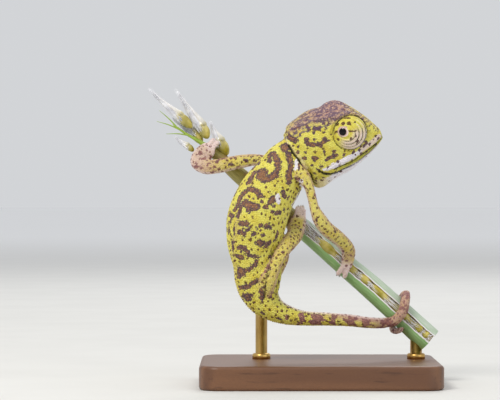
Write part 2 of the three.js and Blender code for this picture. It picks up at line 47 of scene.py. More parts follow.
TAU = 2 * np.pi
PERCH_Y = 2.5
VOXEL = 0.142
COAT = 0.05
rng = np.random.default_rng(11)

# ---- Ways of making a mesh ----


def mesh_object(name, points, faces, material, slot=None, fields=None, uv=None, smooth=True):
    """A mesh from points in millimetres and arrays of faces, each array with one count of corners."""
    faces = [np.asarray(f) for f in faces if len(f)]
    sizes = np.concatenate([np.full(len(f), f.shape[1]) for f in faces])
    corners = np.concatenate([f.ravel() for f in faces])
    mesh = bpy.data.meshes.new(name)
    mesh.vertices.add(len(points))
    mesh.vertices.foreach_set("co", (np.asarray(points) * MM).ravel().astype(np.float32))
    mesh.loops.add(len(corners))
    mesh.loops.foreach_set("vertex_index", corners.astype(np.int32))
    mesh.polygons.add(len(sizes))
    mesh.polygons.foreach_set("loop_start", np.concatenate([[0], np.cumsum(sizes)[:-1]]).astype(np.int32))
    mesh.update(calc_edges=True)
    mesh.polygons.foreach_set("use_smooth", np.full(len(sizes), smooth))
    for key, values in (fields or {}).items():
        layer = mesh.attributes.new(key, "FLOAT", "POINT")
        layer.data.foreach_set("value", np.asarray(values, np.float32))
    if uv is not None:
        layer = mesh.uv_layers.new(name="OFBake")
        layer.uv.foreach_set("vector", np.asarray(uv, np.float32)[corners].ravel())
    piece = bpy.data.objects.new(name, mesh)
    bpy.context.scene.collection.objects.link(piece)
    if material is not None:
        mesh.materials.append(material)
    if slot:
        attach(piece, "root")
    return piece


def spline(rows, t, power=0.5):
    """Catmull-Rom curve through rows at station numbers t, its knots spaced by distance ** power."""
    rows = np.asarray(rows, float)
    t = np.clip(np.asarray(t, float), 0, len(rows) - 1)
    i = np.minimum(t.astype(int), len(rows) - 2)
    w = (t - i).reshape(t.shape + (1,) * (rows.ndim - 1))
    padded = np.concatenate([2 * rows[:1] - rows[1:2], rows, 2 * rows[-1:] - rows[-2:-1]])
    p0, p1, p2, p3 = (padded[i + k] for k in range(4))

    def knot(a, b):
        return np.maximum(np.linalg.norm(b - a, axis=-1, keepdims=True), 1e-9) ** power

    d0, d1, d2 = knot(p0, p1), knot(p1, p2), knot(p2, p3)
    m1 = ((p1 - p0) / d0 - (p2 - p0) / (d0 + d1) + (p2 - p1) / d1) * d1
    m2 = ((p2 - p1) / d1 - (p3 - p1) / (d1 + d2) + (p3 - p2) / d2) * d1
    square = (3 * (p2 - p1) - 2 * m1 - m2) * w**2
    return p1 + m1 * w + square + (2 * (p1 - p2) + m1 + m2) * w**3


def unit(v):
    return v / np.maximum(np.linalg.norm(v, axis=-1, keepdims=True), 1e-12)


def back_direction(lean, turn):
    """The direction of the back: lean is its angle in the XZ plane, turn how far it faces -Y."""
    lean, turn = np.radians(lean), np.radians(turn)
    return np.array([np.cos(lean) * np.cos(turn), -np.sin(turn), np.sin(lean) * np.cos(turn)])


def step(low, high, x):
    """0 below low, 1 above high, a smooth cubic rise between them."""
    w = np.clip((x - low) / (high - low), 0, 1)
    return w * w * (3 - 2 * w)


def bell(x, width):
    return np.exp(-((x / width) ** 2))


def lengths_along(points):
    """How far along a line of points each of them is."""
    return np.concatenate([[0], np.cumsum(np.linalg.norm(np.diff(points, axis=0), axis=1))])


def grid_quads(count, sides):
    """Faces between neighbouring rings of points, each ring closed on itself."""
    r, s = np.meshgrid(np.arange(count - 1), np.arange(sides), indexing="ij")
    a, b = r * sides + s, r * sides + (s + 1) % sides
    return np.stack([a, b, b + sides, a + sides], -1).reshape(-1, 4)


def shell_of(rings):
    """Points and faces of a closed body: quads between neighbouring rings, a fan at each end."""
    count, sides = rings.shape[:2]
    points = np.concatenate([rings.reshape(-1, 3), rings[[0, -1]].mean(1)])
    s = np.arange(sides)
    first = np.stack([(s + 1) % sides, s, np.full(sides, count * sides)], -1)
    last = (count - 1) * sides
    final = np.stack([last + s, last + (s + 1) % sides, np.full(sides, count * sides + 1)], -1)
    return points, grid_quads(count, sides), np.concatenate([first, final])


def joined(shells):
    """Several shells of (points, quads, triangles) as one."""
    offset, points, quads, triangles = 0, [], [], []
    for p, q, t in shells:
        points.append(p)
        quads.append(q + offset)
        triangles.append(t + offset)
        offset += len(p)
    return np.concatenate(points), np.concatenate(quads), np.concatenate(triangles)


class Flesh:
    """A smooth body round a bent centre line.

    Each row holds a centre, the half-sizes of its section to the back, belly and side, and the
    direction of its back. A point at angle a from the back lies at
    centre + up * cos(a) * (back or belly size) + left * sin(a) * side size.
    """

    def __init__(self, rows):
        rows = np.array(rows, float)
        self.at, self.sizes, self.ups = rows[:, :3], rows[:, 3:6], rows[:, 6:9]
        self.last = len(rows) - 1

    def axes(self, t):
        t = np.asarray(t, float)
        along = unit(spline(self.at, t + 0.01) - spline(self.at, t - 0.01))
        up = spline(self.ups, t, 0)
        up = unit(up - along * (up * along).sum(-1, keepdims=True))
        return spline(self.at, t), along, up, np.cross(along, up), spline(self.sizes, t, 0)

    def surface(self, t, angle):
        centre, _, up, left, size = self.axes(t)
        high = np.cos(angle)
        reach = np.where(high > 0, size[..., 0], size[..., 1])
        return centre + up * (high * reach)[..., None] + left * (np.sin(angle) * size[..., 2])[..., None]

    def shell(self, per_station=14, sides=64, tip=0.0):
        """The closed surface; its far end narrows like half an ellipse over the last tip stations."""
        t = np.linspace(0, self.last - 0.001, int(self.last * per_station) + 1)
        if tip:
            t = np.append(t[t < self.last - tip], self.last - tip * np.cos(np.linspace(0, 1.56, 9)))
        narrow = np.sqrt(1 - (1 - np.clip((self.last - t) / tip, 0, 1)) ** 2) if tip else 1 + 0 * t
        centre = spline(self.at, t)[:, None]
        t, angle = np.meshgrid(t, np.arange(sides) * TAU / sides, indexing="ij")
        return shell_of(centre + (self.surface(t, angle) - centre) * narrow[:, None, None])

    def locate(self, points, per_station=10):
        """Station of the nearest centre, angle from the back, and distance as a share of the size."""
        t = np.linspace(0, self.last, self.last * per_station + 1)
        centre, along, up, left, size = self.axes(t)
        nearest = np.empty(len(points), int)
        for i in range(0, len(points), 8000):
            block = points[i : i + 8000]
            gap = (block**2).sum(1)[:, None] + (centre**2).sum(1) - 2 * block @ centre.T
            nearest[i : i + 8000] = gap.argmin(1)
        off = points - centre[nearest]
        ahead = (off * along[nearest]).sum(1)
        high, wide = (off * up[nearest]).sum(1), (off * left[nearest]).sum(1)
        size = size[nearest]
        reach = np.where(high > 0, size[:, 0], size[:, 1])
        share = np.hypot(high / reach, wide / size[:, 2])
        pace = np.linalg.norm(np.gradient(self.at, axis=0), axis=1).mean()
        beyond = np.abs(ahead) * np.select([nearest == 0, nearest == len(t) - 1], [1.0, 0.35], 0)
        station = t[nearest] + ahead / pace
        return station, np.arctan2(wide / size[:, 2], high / reach), share + beyond


# ---- The animal's form ----


def trunk_row(x, y, z, back, side, lean, turn, belly=None):
    return [x, y, z, back, back if belly is None else belly, side, *back_direction(lean, turn)]


TRUNK = [
    trunk_row(*row)
    for row in [
        (-2.6, -2.7, 29.2, 2.6, 1.8, 140, 20, 2.2), (-3.9, -2.8, 27.6, 3.25, 2.3, 143, 24, 2.9),
        (-5.1, -3.0, 26.1, 3.3, 2.5, 154, 26, 3.45), (-6.6, -3.3, 24.0, 3.72, 2.8, 159, 32, 3.85),
        (-7.55, -3.5, 21.8, 4.05, 3.1, 165, 38), (-8.1, -3.5, 19.8, 3.98, 3.1, 171, 38),
        (-8.45, -3.3, 17.8, 3.3, 2.8, 175, 34), (-8.2, -2.9, 15.7, 2.85, 2.4, 182, 28),
        (-7.78, -2.5, 13.95, 3.08, 2.3, 188, 24), (-7.5, -2.3, 12.15, 2.76, 2.1, 195, 20, 2.68),
        (-6.9, -2.2, 10.65, 2.09, 1.7, 212, 16), (-5.6, -2.0, 9.45, 1.47, 1.3, 236, 12),
        (-3.6, -1.7, 8.7, 1.12, 1.05, 252, 8), (-1.9, -1.4, 8.4, 0.9, 0.85, 262, 4),
        (1.3, -0.9, 8.25, 0.79, 0.74, 268, 0), (4.0, -0.5, 8.06, 0.73, 0.69, 268, 0),
        (6.0, -0.2, 7.8, 0.68, 0.64, 264, 0),
    ]
]
TAIL_ROOT = 11  # station where the tail leaves the pelvis
STEM_RUN = np.array([0.743, 0, -0.669])  # down the stem, away from its seed head
STEM_UPPER = np.array([0.669, 0, 0.743])  # to the stem's upper edge
TO_VIEWER = np.array([0, -1.0, 0])


def tail_turn():
    """The tail's last turn: a helix round the stem whose reach shrinks with the tail's own radius."""
    turn = [155, 119, 82, 45, 0, -50, -100, -145, -185, -215, -238]
    along = [-0.7, -0.1, -0.1, -0.75, -1.1, -0.95, -0.3, 0.35, 0.85, 1.25, 1.4]
    radius = [0.64, 0.65, 0.65, 0.62, 0.56, 0.52, 0.48, 0.44, 0.4, 0.37, 0.28]
    turn = np.radians(turn)[:, None]
    along, radius = np.array(along)[:, None], np.array(radius)[:, None]
    out = STEM_UPPER * np.cos(turn) + TO_VIEWER * np.sin(turn)
    at = np.array([10.35, PERCH_Y, 8.75]) + STEM_RUN * along + out * (1.68 + radius)
    return np.hstack([at, radius, radius, radius, out])


BODY = Flesh(np.vstack([TRUNK, tail_turn()]))

RIGHT_ARM, LEFT_ARM, RIGHT_LEG = 0, 1, 2  # their places in LIMBS; the left leg is the last
# Rows of x, y, z, half-width and half-thickness, from the root to the wrist or ankle, then the
# near bundle of toes. palm is 1 where the palm lies on the stem's upper edge, -1 on its lower;
# splay is how far the outer toes of a bundle lean apart.
LIMBS = [
    {
        "rows": [
            [-3.3, -3.7, 27.4, 1.1, 1.0], [-2.3, -4.5, 26.3, 0.95, 0.85], [-1.5, -4.7, 25.0, 0.65, 0.62],
            [-1.1, -4.7, 23.6, 0.58, 0.58], [-0.75, -4.6, 22.2, 0.62, 0.62],
            [-0.1, -4.3, 20.8, 0.88, 0.78], [0.75, -3.6, 19.65, 0.93, 0.8],
            [1.8, -2.7, 18.82, 0.93, 0.78], [2.65, -1.6, 18.1, 0.9, 0.74], [3.42, -0.5, 17.25, 0.9, 0.64],
        ],
        "near": [
            [3.68, 0.3, 16.6, 0.9, 0.55], [3.62, 0.4, 15.7, 0.82, 0.45], [3.4, 0.45, 14.9, 0.7, 0.42],
            [3.1, 0.6, 14.3, 0.5, 0.34],
        ],
        "palm": 1,
        "toes": (2, 3),
        "splay": 0.18,
    },
    {
        "rows": [
            [-5.2, -1.6, 26.8, 1.0, 0.9], [-6.4, -0.9, 27.8, 0.85, 0.8], [-8.0, -0.2, 28.25, 0.75, 0.72],
            [-9.6, 0.1, 28.1, 0.85, 0.75], [-11.2, 0.3, 27.8, 0.9, 0.75], [-12.8, 0.3, 27.48, 0.92, 0.72],
            [-14.3, 0.6, 27.4, 0.95, 0.68], [-15.35, 1.1, 27.95, 0.95, 0.62],
        ],
        "near": [
            [-15.1, 1.25, 28.6, 1.1, 0.5], [-14.45, 1.0, 29.2, 1.15, 0.44],
            [-13.85, 1.0, 29.8, 0.95, 0.42], [-13.55, 1.15, 30.15, 0.64, 0.34],
        ],
        "palm": -1,
        "toes": (2, 3),
        "splay": 0.0,
    },
    {
        "rows": [
            [-7.3, -3.4, 12.0, 1.5, 1.1], [-6.6, -4.4, 13.1, 1.2, 0.9], [-5.95, -4.7, 14.5, 0.9, 0.82],
            [-5.2, -4.6, 16.05, 0.85, 0.78], [-4.5, -3.9, 17.1, 0.9, 0.75],
            [-3.75, -2.7, 18.0, 1.0, 0.72], [-3.15, -1.4, 18.8, 1.05, 0.68],
        ],
        "near": [
            [-2.92, -0.2, 19.6, 1.12, 0.6], [-2.62, 0.45, 20.6, 1.0, 0.48], [-2.45, 0.6, 21.2, 0.8, 0.42],
            [-2.4, 0.75, 21.6, 0.52, 0.34],
        ],
        "palm": -1,
        "toes": (3, 2),
        "splay": 0.0,
    },
    {
        "rows": [
            [-7.2, -1.4, 12.2, 1.4, 1.0], [-6.2, -0.5, 13.3, 1.1, 0.85], [-5.2, -0.1, 14.7, 0.85, 0.75],
            [-4.6, 0.0, 16.1, 0.8, 0.7], [-4.8, 0.2, 17.5, 0.78, 0.66], [-5.15, 0.4, 18.8, 0.78, 0.62],
            [-5.5, 0.6, 19.9, 0.8, 0.55],
        ],
        "near": [
            [-5.45, 0.7, 20.8, 0.85, 0.45], [-5.0, 0.72, 21.6, 0.8, 0.42], [-4.6, 0.8, 22.2, 0.68, 0.4],
            [-4.35, 0.92, 22.5, 0.5, 0.34],
        ],
        "palm": -1,
        "toes": (2, 3),
        "splay": 0.05,
    },
]


def limb_flesh(rows, ups=None):
    """Limb rows as flesh: the half-width lies across the direction that it is half-thick in."""
    rows = np.array(rows, float)
    ups = np.tile(TO_VIEWER, (len(rows), 1)) if ups is None else ups
    return Flesh(np.hstack([rows[:, :3], rows[:, [4, 4, 3]], ups]))


def far_bundle(limb):
    """The far toes are the near ones mirrored in the stem's plane, behind a palm over its edge."""
    out = STEM_UPPER * limb["palm"]
    x, y, z, wide, thick = limb["near"][0]
    reach = [-0.1, 0.3, 0.45, 0.3]
    depth = [y + 0.1, (y + PERCH_Y) / 2, PERCH_Y, 1.5 * PERCH_Y - y / 2]
    palm = [[x + out[0] * r, d, z + out[2] * r, wide * 0.88, thick] for r, d in zip(reach, depth)]
    toes = [[a, 2 * PERCH_Y - b, c, w, t] for a, b, c, w, t in limb["near"]]
    ups = np.array([out] * 4 + [-TO_VIEWER] * len(toes))
    return limb_flesh(palm + toes, ups)


TOE_RADII = {2: 0.31, 3: 0.28}
TOE_SPREADS = {2: 0.31, 3: 0.43}
TOE_SHARES = {2: (0.94, 1.0), 3: (0.8, 1.0, 0.72)}
TOE_LENGTH = 1.3
TOE_ROOT = 0.9  # how far back on the bundle a toe shows as a ridge, in stations
CLAW_LENGTH = 0.38


def toe_paths(bundle, count, bend, splay):
    """Root, knuckle, tip, direction, bend and radius of each toe that ends a bundle, side by side."""
    end, along = (v[0] for v in bundle.axes(np.array([float(bundle.last)]))[:2])
    across = unit(np.cross(along, TO_VIEWER))
    radius, spread = TOE_RADII[count], TOE_SPREADS[count]
    root_at = bundle.axes(np.array([bundle.last - TOE_ROOT]))[0][0]
    paths = []
    for place, share in zip(np.linspace(-1, 1, count), TOE_SHARES[count]):
        root = root_at + across * place * spread * 1.25
        start = end + across * place * spread - along * 0.35
        tip = start + along * TOE_LENGTH * share + bend * 0.3 + across * place * splay
        knuckle = start * 0.6 + tip * 0.4 - bend * 0.1
        paths.append((root, knuckle, tip, along, bend, radius))
    return paths


def toe_shell(path):
    """A toe: a ridge that rises from the bundle and ends in a pad, bent towards the stem."""
    root, knuckle, tip, along, _, radius = path
    at = np.array([root, root * 0.5 + knuckle * 0.5, knuckle, knuckle * 0.4 + tip * 0.6, tip])
    width = np.array([0.75, 0.95, 1.0, 1.02, 0.8]) * radius
    ups = np.tile(unit(TO_VIEWER + along * 0.3), (5, 1))
    return Flesh(np.hstack([at, np.repeat(width[:, None], 3, 1), ups])).shell(8, 24, 0.7)


def claw_shell(path):
    """A claw: a cone that narrows to a point while it hooks towards the stem."""
    tip, along, bend = path[2:5]
    t = np.linspace(0, 1, 9)[:, None]
    hook = along * 0.8 * np.sin(t * 1.3) + bend * 0.95 * t**1.6
    at = tip - along * 0.16 - bend * 0.05 + hook * CLAW_LENGTH
    width = 0.125 * (1 - t) ** 0.75 + 0.008
    rows = np.hstack([at, np.repeat(width, 3, 1), np.tile(unit(TO_VIEWER + along * 0.4), (9, 1))])
    return Flesh(rows).shell(3, 14)


def toes_of(limb, near, far, shape):
    """The toes or claws of a limb's two bundles, each worked out by shape from its path."""
    paths = toe_paths(near, limb["toes"][0], -TO_VIEWER, limb["splay"])
    paths += toe_paths(far, limb["toes"][1], TO_VIEWER, limb["splay"])
    return [shape(path) for path in paths]


NEAR_FLESH = [limb_flesh(limb["rows"] + limb["near"]) for limb in LIMBS]
FAR_FLESH = [far_bundle(limb) for limb in LIMBS]

# ---- The head ----

HEAD_AT = np.array([3.6, -2.7, 31.64])
HEAD_PITCH, HEAD_ROLL = 22, 16
AHEAD = np.array([np.cos(np.radians(HEAD_PITCH)), 0, np.sin(np.radians(HEAD_PITCH))])
CROWN = back_direction(90 + HEAD_PITCH, HEAD_ROLL)
LEFT = np.cross(CROWN, AHEAD)


def head_point(forward, side, up):
    forward, side, up = (np.asarray(v, float)[..., None] for v in (forward, side, up))
    return HEAD_AT + AHEAD * forward + LEFT * side + CROWN * up


def head_place(points):
    """A point's place along the head's own axes: forward, to the left and up."""
    off = points - HEAD_AT
    return off @ AHEAD, off @ LEFT, off @ CROWN


# Forward, slant, top; crest, cheek and jaw each as half-width and height; throat.
HEAD_SECTIONS = np.array(
    [
        [-7.4, 0.17, 2.4, 0.35, 2.2, 0.6, 0.4, 0.5, -2.9, -4.1],
        [-7.15, 0.17, 2.85, 0.8, 2.6, 1.45, 0.4, 1.2, -3.4, -5.05],
        [-6.3, 0.16, 3.6, 1.25, 3.2, 2.1, 0.3, 1.7, -3.3, -5.3],
        [-5.0, 0.14, 4.2, 1.5, 3.65, 2.45, 0.2, 2.0, -3.1, -5.0],
        [-3.4, 0.1, 4.62, 1.75, 3.75, 2.5, 0.2, 2.0, -3.0, -4.72],
        [-2.0, 0.08, 4.45, 1.8, 3.6, 2.4, 0.25, 1.95, -3.0, -4.55],
        [-1.0, 0.05, 4.7, 1.95, 3.5, 2.4, 0.3, 1.85, -3.0, -4.35],
        [0.2, 0.02, 4.4, 1.9, 3.2, 2.2, 0.2, 1.6, -2.9, -4.0],
        [1.4, 0, 3.0, 1.4, 2.4, 1.75, -0.4, 1.35, -2.75, -3.62],
        [2.6, 0, 1.25, 0.95, 0.9, 1.3, -0.9, 1.0, -2.5, -3.1],
        [3.35, 0, -0.2, 0.6, -0.4, 0.85, -1.3, 0.65, -2.3, -2.62],
        [3.75, 0, -1.05, 0.25, -1.15, 0.4, -1.6, 0.28, -2.1, -2.25],
    ]
)


def head_shell(rings=150, sides=112):
    """The skull: sections blended along the head, each a closed curve through sixteen places."""
    t = np.linspace(0, len(HEAD_SECTIONS) - 1, rings)
    rows = spline(HEAD_SECTIONS, t, 0).T
    forward, slant, top, crest_w, crest_h, cheek_w, cheek_h, jaw_w, jaw_h, throat = rows
    half = np.array(
        [
            [0 * top, top],
            [crest_w * 0.55, top * 0.6 + crest_h * 0.4],
            [crest_w, crest_h],
            [cheek_w * 0.96, (crest_h + cheek_h) / 2],
            [cheek_w, cheek_h],
            [cheek_w * 0.94, (cheek_h + jaw_h) / 2],
            [jaw_w, jaw_h],
            [jaw_w * 0.5, throat * 0.75 + jaw_h * 0.25],
            [0 * top, throat],
        ]
    )
    other = half[-2:0:-1] * np.array([-1, 1])[:, None]
    loop = np.concatenate([half, other]).transpose(0, 2, 1)
    closed = np.concatenate([loop[-2:], loop, loop[:3]])
    at = 2 + len(loop) * (1 - np.arange(sides) / sides)
    outline = spline(closed, at)
    side, up = outline[..., 0].T, outline[..., 1].T
    return shell_of(head_point(forward[:, None] - slant[:, None] * up, side, up))


# ---- Skin ----


def welded_shells():
    """Every length of flesh as one closed surface, by voxels, as points and quads."""
    shells = [head_shell(), BODY.shell(14, 72, 0.8)]
    for limb, near, far in zip(LIMBS, NEAR_FLESH, FAR_FLESH):
        shells += [near.shell(8, 40, 0.9), far.shell(8, 32, 0.9), *toes_of(limb, near, far, toe_shell)]
    points, quads, triangles = joined(shells)
    rough = mesh_object("rough_skin", points / MM, [quads, triangles], None)
    weld = rough.modifiers.new("weld", "REMESH")
    weld.mode = "VOXEL"
    weld.voxel_size = VOXEL
    mesh = rough.evaluated_get(bpy.context.evaluated_depsgraph_get()).to_mesh()
    out = np.empty(len(mesh.vertices) * 3, np.float32)
    mesh.vertices.foreach_get("co", out)
    corners = np.empty(len(mesh.loops), np.int32)
    mesh.loops.foreach_get("vertex_index", corners)
    bpy.data.objects.remove(rough)
    return out.reshape(-1, 3).astype(float), corners.reshape(-1, 4)


def edges_of(quads):
    pairs = np.concatenate([quads[:, [i, (i + 1) % 4]] for i in range(4)])
    return np.unique(np.sort(pairs, 1), axis=0)


def neighbour_mean(values, edges, degree):
    total = np.zeros_like(values)
    for axis in range(values.shape[1]):
        total[:, axis] = np.bincount(edges[:, 0], values[edges[:, 1], axis], len(values))
        total[:, axis] += np.bincount(edges[:, 1], values[edges[:, 0], axis], len(values))
    return total / degree[:, None]


def eased(points, quads, rounds, weight=1.0):
    """Each round moves a point towards its neighbours' mean, then a little further back out."""
    edges = edges_of(quads)
    degree = np.bincount(edges.ravel(), minlength=len(points)).astype(float)
    weight = np.broadcast_to(weight, len(points))[:, None]
    for _ in range(rounds):
        for push in (0.5, -0.52):
            points = points + push * weight * (neighbour_mean(points, edges, degree) - points)
    return points


def normals_of(points, quads):
    a, b, c, d = (points[quads[:, i]] for i in range(4))
    face = np.cross(c - a, d - b)
    normal = np.zeros_like(points)
    for i in range(4):
        for axis in range(3):
            normal[:, axis] += np.bincount(quads[:, i], face[:, axis], len(points))
    return unit(normal)


# ---- Places on the skin ----


class Places:
    """Where points lie on the animal: the part, its station, the angle round it and the axes there."""

    def __init__(self, points):
        self.points = points
        count = len(points)
        self.forward, self.side, self.up = head_place(points)
        best, self.part = head_share(self.forward, self.side, self.up), np.zeros(count, int)
        self.station, self.angle = self.forward.copy(), np.arctan2(self.side, self.up + 0.4)
        for number, flesh in enumerate(FLESH, 1):
            station, angle, share = flesh.locate(points)
            closer = share < best
            best = np.where(closer, share, best)
            self.part[closer] = number
            self.station[closer], self.angle[closer] = station[closer], angle[closer]
        on = self.part == BODY_PART
        self.angle[on] -= spine_angle(self.station[on])

    def on(self, *parts):
        return np.isin(self.part, parts)

    def along(self):
        """The direction the scales point: to the tail, or out along a limb."""
        out = np.tile(-AHEAD, (len(self.points), 1))
        for number, flesh in enumerate(FLESH, 1):
            here = self.part == number
            out[here] = flesh.axes(np.clip(self.station[here], 0.05, flesh.last - 0.05))[1]
        return out


# A part's number is its place in FLESH plus one; the head is 0.
HEAD_PART, BODY_PART = 0, 1
NEAR_PARTS, FAR_PARTS = (2, 3, 4, 5), (6, 7, 8, 9)
FLESH = [BODY, *NEAR_FLESH, *FAR_FLESH]


def head_share(forward, side, up):
    """Distance from the middle of the head's section as a share of the section's own reach."""
    level = HEAD_SECTIONS[:, 0]
    slant = np.interp(forward, level, HEAD_SECTIONS[:, 1])
    at = forward + slant * up
    top, crest, cheek, cheek_h, throat = (np.interp(at, level, HEAD_SECTIONS[:, k]) for k in (2, 3, 5, 6, 9))
    high = np.where(up > cheek_h, (up - cheek_h) / (top - cheek_h), (up - cheek_h) / (throat - cheek_h))
    width = np.where(up > cheek_h, cheek * 0.3 + crest * 0.85, cheek)
    share = (np.abs(high) ** 2.3 + np.abs(side / width) ** 2.3) ** (1 / 2.3)
    return share + 3 * np.maximum(level[0] - 0.1 - at, 0) + 3 * np.maximum(at - level[-1] - 0.1, 0)


def skin_tree(points, quads):
    return BVHTree.FromPolygons(points.tolist(), quads.tolist())


def seen_on_skin(tree, marks):
    """Where lines from the viewpoint through (x, z) in the animal's middle plane meet the skin."""
    out = []
    for x, z in marks:
        through = np.array([x, HEAD_AT[1], z])
        hit = tree.ray_cast(Vector(VIEWPOINT), Vector(unit(through - VIEWPOINT)))[0]
        if hit is None:
            hit = tree.find_nearest(Vector(through))[0]
        out.append(np.array(hit))
    return np.array(out)


def mirrored_head(points):
    forward, side, up = head_place(points)
    return head_point(forward, -side, up)


def line_distance(points, line):
    """Distance from each point to the nearest place on a line of joined segments."""
    best = np.full(len(points), 1e9)
    for a, b in zip(line[:-1], line[1:]):
        run = b - a
        share = np.clip(((points - a) @ run) / max(run @ run, 1e-9), 0, 1)
        best = np.minimum(best, np.linalg.norm(points - a - share[:, None] * run, axis=1))
    if len(line) == 1:
        best = np.linalg.norm(points - line[0], axis=1)
    return best


VIEWPOINT = np.array([-8.75, -280.3, 23.2])

# Folds and ridges seen from the right, in (x, z): height (a fold's is negative), width, line.
HEAD_LINES = {
    "mouth": (-0.2, 0.1, [(7.7, 30.9), (6.87, 30.05), (5.89, 29.29), (5.09, 28.72), (4.46, 28.22),
        (3.93, 27.88), (2.77, 27.45), (1.79, 26.95)]),
    "jaw fold": (-0.3, 0.19, [(7.14, 29.83), (6.61, 29.15), (5.71, 28.44), (4.82, 27.9), (3.93, 27.4),
        (3.04, 26.99), (2.14, 26.52), (1.25, 26.34), (0.54, 26.43), (-0.1, 26.7)]),
    "lip": (0.08, 0.3, [(7.4, 31.1), (6.6, 30.45), (5.7, 29.78), (4.85, 29.15), (3.95, 28.5),
        (3.0, 28.08), (2.1, 27.6), (1.3, 27.2), (0.6, 27.0)]),
    "brow": (0.22, 0.17, [(1.15, 31.9), (1.5, 32.75), (2.2, 33.55), (3.0, 33.95), (3.7, 34.05),
        (4.5, 33.85), (5.25, 33.35), (5.85, 32.6), (6.1, 31.8)]),
    "cheek ring": (0.1, 0.15, [(6.15, 31.2), (5.9, 30.35), (5.3, 29.65), (4.4, 29.2), (3.5, 29.15),
        (2.6, 29.45), (1.9, 30.0)]),
    "side crest": (0.19, 0.24, [(1.9, 33.7), (0.3, 33.35), (-1.4, 32.95), (-2.8, 32.4), (-3.9, 31.85)]),
    "snout crest": (0.12, 0.18, [(5.7, 33.2), (6.4, 32.5), (7.1, 31.7), (7.6, 31.1)]),
    "crown crest": (0.12, 0.22, [(0.6, 34.55), (-0.8, 34.1), (-2.0, 33.3)]),
    "nostril": (-0.16, 0.13, [(6.95, 31.2), (7.0, 31.12)]),
    "hind edge": (-0.32, 0.16, [(-3.9, 30.0), (-3.35, 29.1), (-2.41, 27.97), (-1.75, 27.15),
        (-1.16, 26.25), (-0.85, 25.3), (-0.7, 24.7)]),
    "hind lobe": (0.13, 0.24, [(-4.3, 31.0), (-3.9, 30.3), (-3.4, 29.75), (-2.9, 29.4), (-2.1, 28.45),
        (-1.4, 27.6), (-0.75, 26.7), (-0.35, 25.6)]),
}
BODY_LINES = {
    "hip fold": (-0.13, 0.14, [(-7.9, 12.8), (-7.2, 13.1), (-6.6, 13.5), (-6.2, 14.3)]),
    "thigh fold": (-0.16, 0.2, [(-6.95, 10.9), (-6.85, 12.4), (-6.7, 13.9), (-6.35, 15.4), (-5.9, 16.6)]),
    "front thigh fold": (-0.16, 0.14, [(-5.5, 11.2), (-5.3, 12.6), (-4.95, 14.2), (-4.5, 15.5),
        (-4.0, 16.2)]),
    "armpit": (-0.1, 0.16, [(-3.1, 25.9), (-2.6, 25.0), (-2.3, 24.3)]),
    "nape fold": (-0.12, 0.15, [(-5.5, 30.5), (-4.9, 29.6), (-4.4, 28.6)]),
    "neck fold": (-0.08, 0.13, [(-4.4, 28.4), (-3.5, 27.6), (-2.9, 26.6)]),
}


# The spine's ridge as seen from the right, in (x, z), from the nape to the loin.
SPINE_LINE = [
    (-5.9, 29.6), (-6.9, 28.45), (-7.95, 26.65), (-9.0, 24.8), (-9.6, 23.2),
    (-10.1, 21.5), (-10.4, 20.45), (-10.5, 18.95), (-10.85, 16.8),
]


def spine_angle(station):
    """How far the spine's ridge stands round the body from the back of its section."""
    return np.interp(station, SPINE_STATION, SPINE_ANGLE, left=0, right=0)


def shaped(points, quads):
    """The welded flesh as a living skin: clear of the stem, with its ridges, folds and crests, and how much
    painted shade darkens each fold.
    """
    tree = skin_tree(points, quads)
    normal = normals_of(points, quads)
    lift = np.full(len(points), -COAT)
    # crease: how much painted shade darkens each point, strongest along the folds, the nostril and the grooves
    # round the turrets
    crease = np.zeros(len(points))
    for height, width, line in HEAD_LINES.values():
        line = seen_on_skin(tree, line)
        for path in (line, mirrored_head(line)):
            hump = bell(line_distance(points, path), width)
            lift += height * hump
            crease = np.maximum(crease, hump**0.7 * (height < 0) * min(abs(height) * 5, 1))
    for height, width, line in BODY_LINES.values():
        hump = bell(line_distance(points, seen_on_skin(tree, line)), width)
        lift += height * hump
        crease = np.maximum(crease, hump * (height < 0) * min(abs(height) * 4, 1))
    station, angle, share = BODY.locate(points)
    on_body = step(1.2, 1.08, share)
    size = np.interp(station, np.arange(len(BODY.sizes)), BODY.sizes[:, 0])
    back = bell((angle - spine_angle(station)) * size, 0.22) * on_body * step(0.8, 2, station)
    belly = bell((np.pi - np.abs(angle)) * size, 0.2) * on_body
    belly = belly * step(1.5, 3, station) * step(12, 10.5, station)
    lift += 0.09 * back + 0.08 * belly
    ribs = np.sin(station * 7.5 + 1.3 * np.sin(angle * 2)) * step(3.2, 4.4, station) * step(9, 7.5, station)
    lift += 0.03 * ribs * on_body * np.sin(angle) ** 2
    forward, left, up = head_place(points)
    off = np.hypot(forward, up - TURRET_UP) / TURRET_RADIUS
    for side in (-1, 1):
        groove = bell(off - 1.0, 0.04) * (left * side > 0.8) * (np.abs(up - TURRET_UP) < 3)
        lift -= 0.13 * groove
        # painted shade in the groove round the turret's foot
        crease = np.maximum(crease, 0.75 * groove)
        lift -= 0.12 * step(0.97, 0.85, off) * (left * side > 0.8)
    points = points + normal * lift[:, None]
    return clear_of_stem(points), crease


STEM_AXIS = np.array(
    [ [14.1, PERCH_Y, 5.35], [12.5, PERCH_Y, 6.8], [6.95, PERCH_Y, 11.85], [3.8, PERCH_Y, 14.55],
    [-1.8, PERCH_Y, 19.4], [-7.3, PERCH_Y, 24.0], [-10.45, PERCH_Y, 26.65], [-13.95, PERCH_Y, 29.8], ]
)
STEM_RADII = np.array([1.66, 1.64, 1.54, 1.44, 1.27, 1.12, 1.02, 0.62])
STEM_REACH = 2.2  # points further from its axis than this are clear of the stem


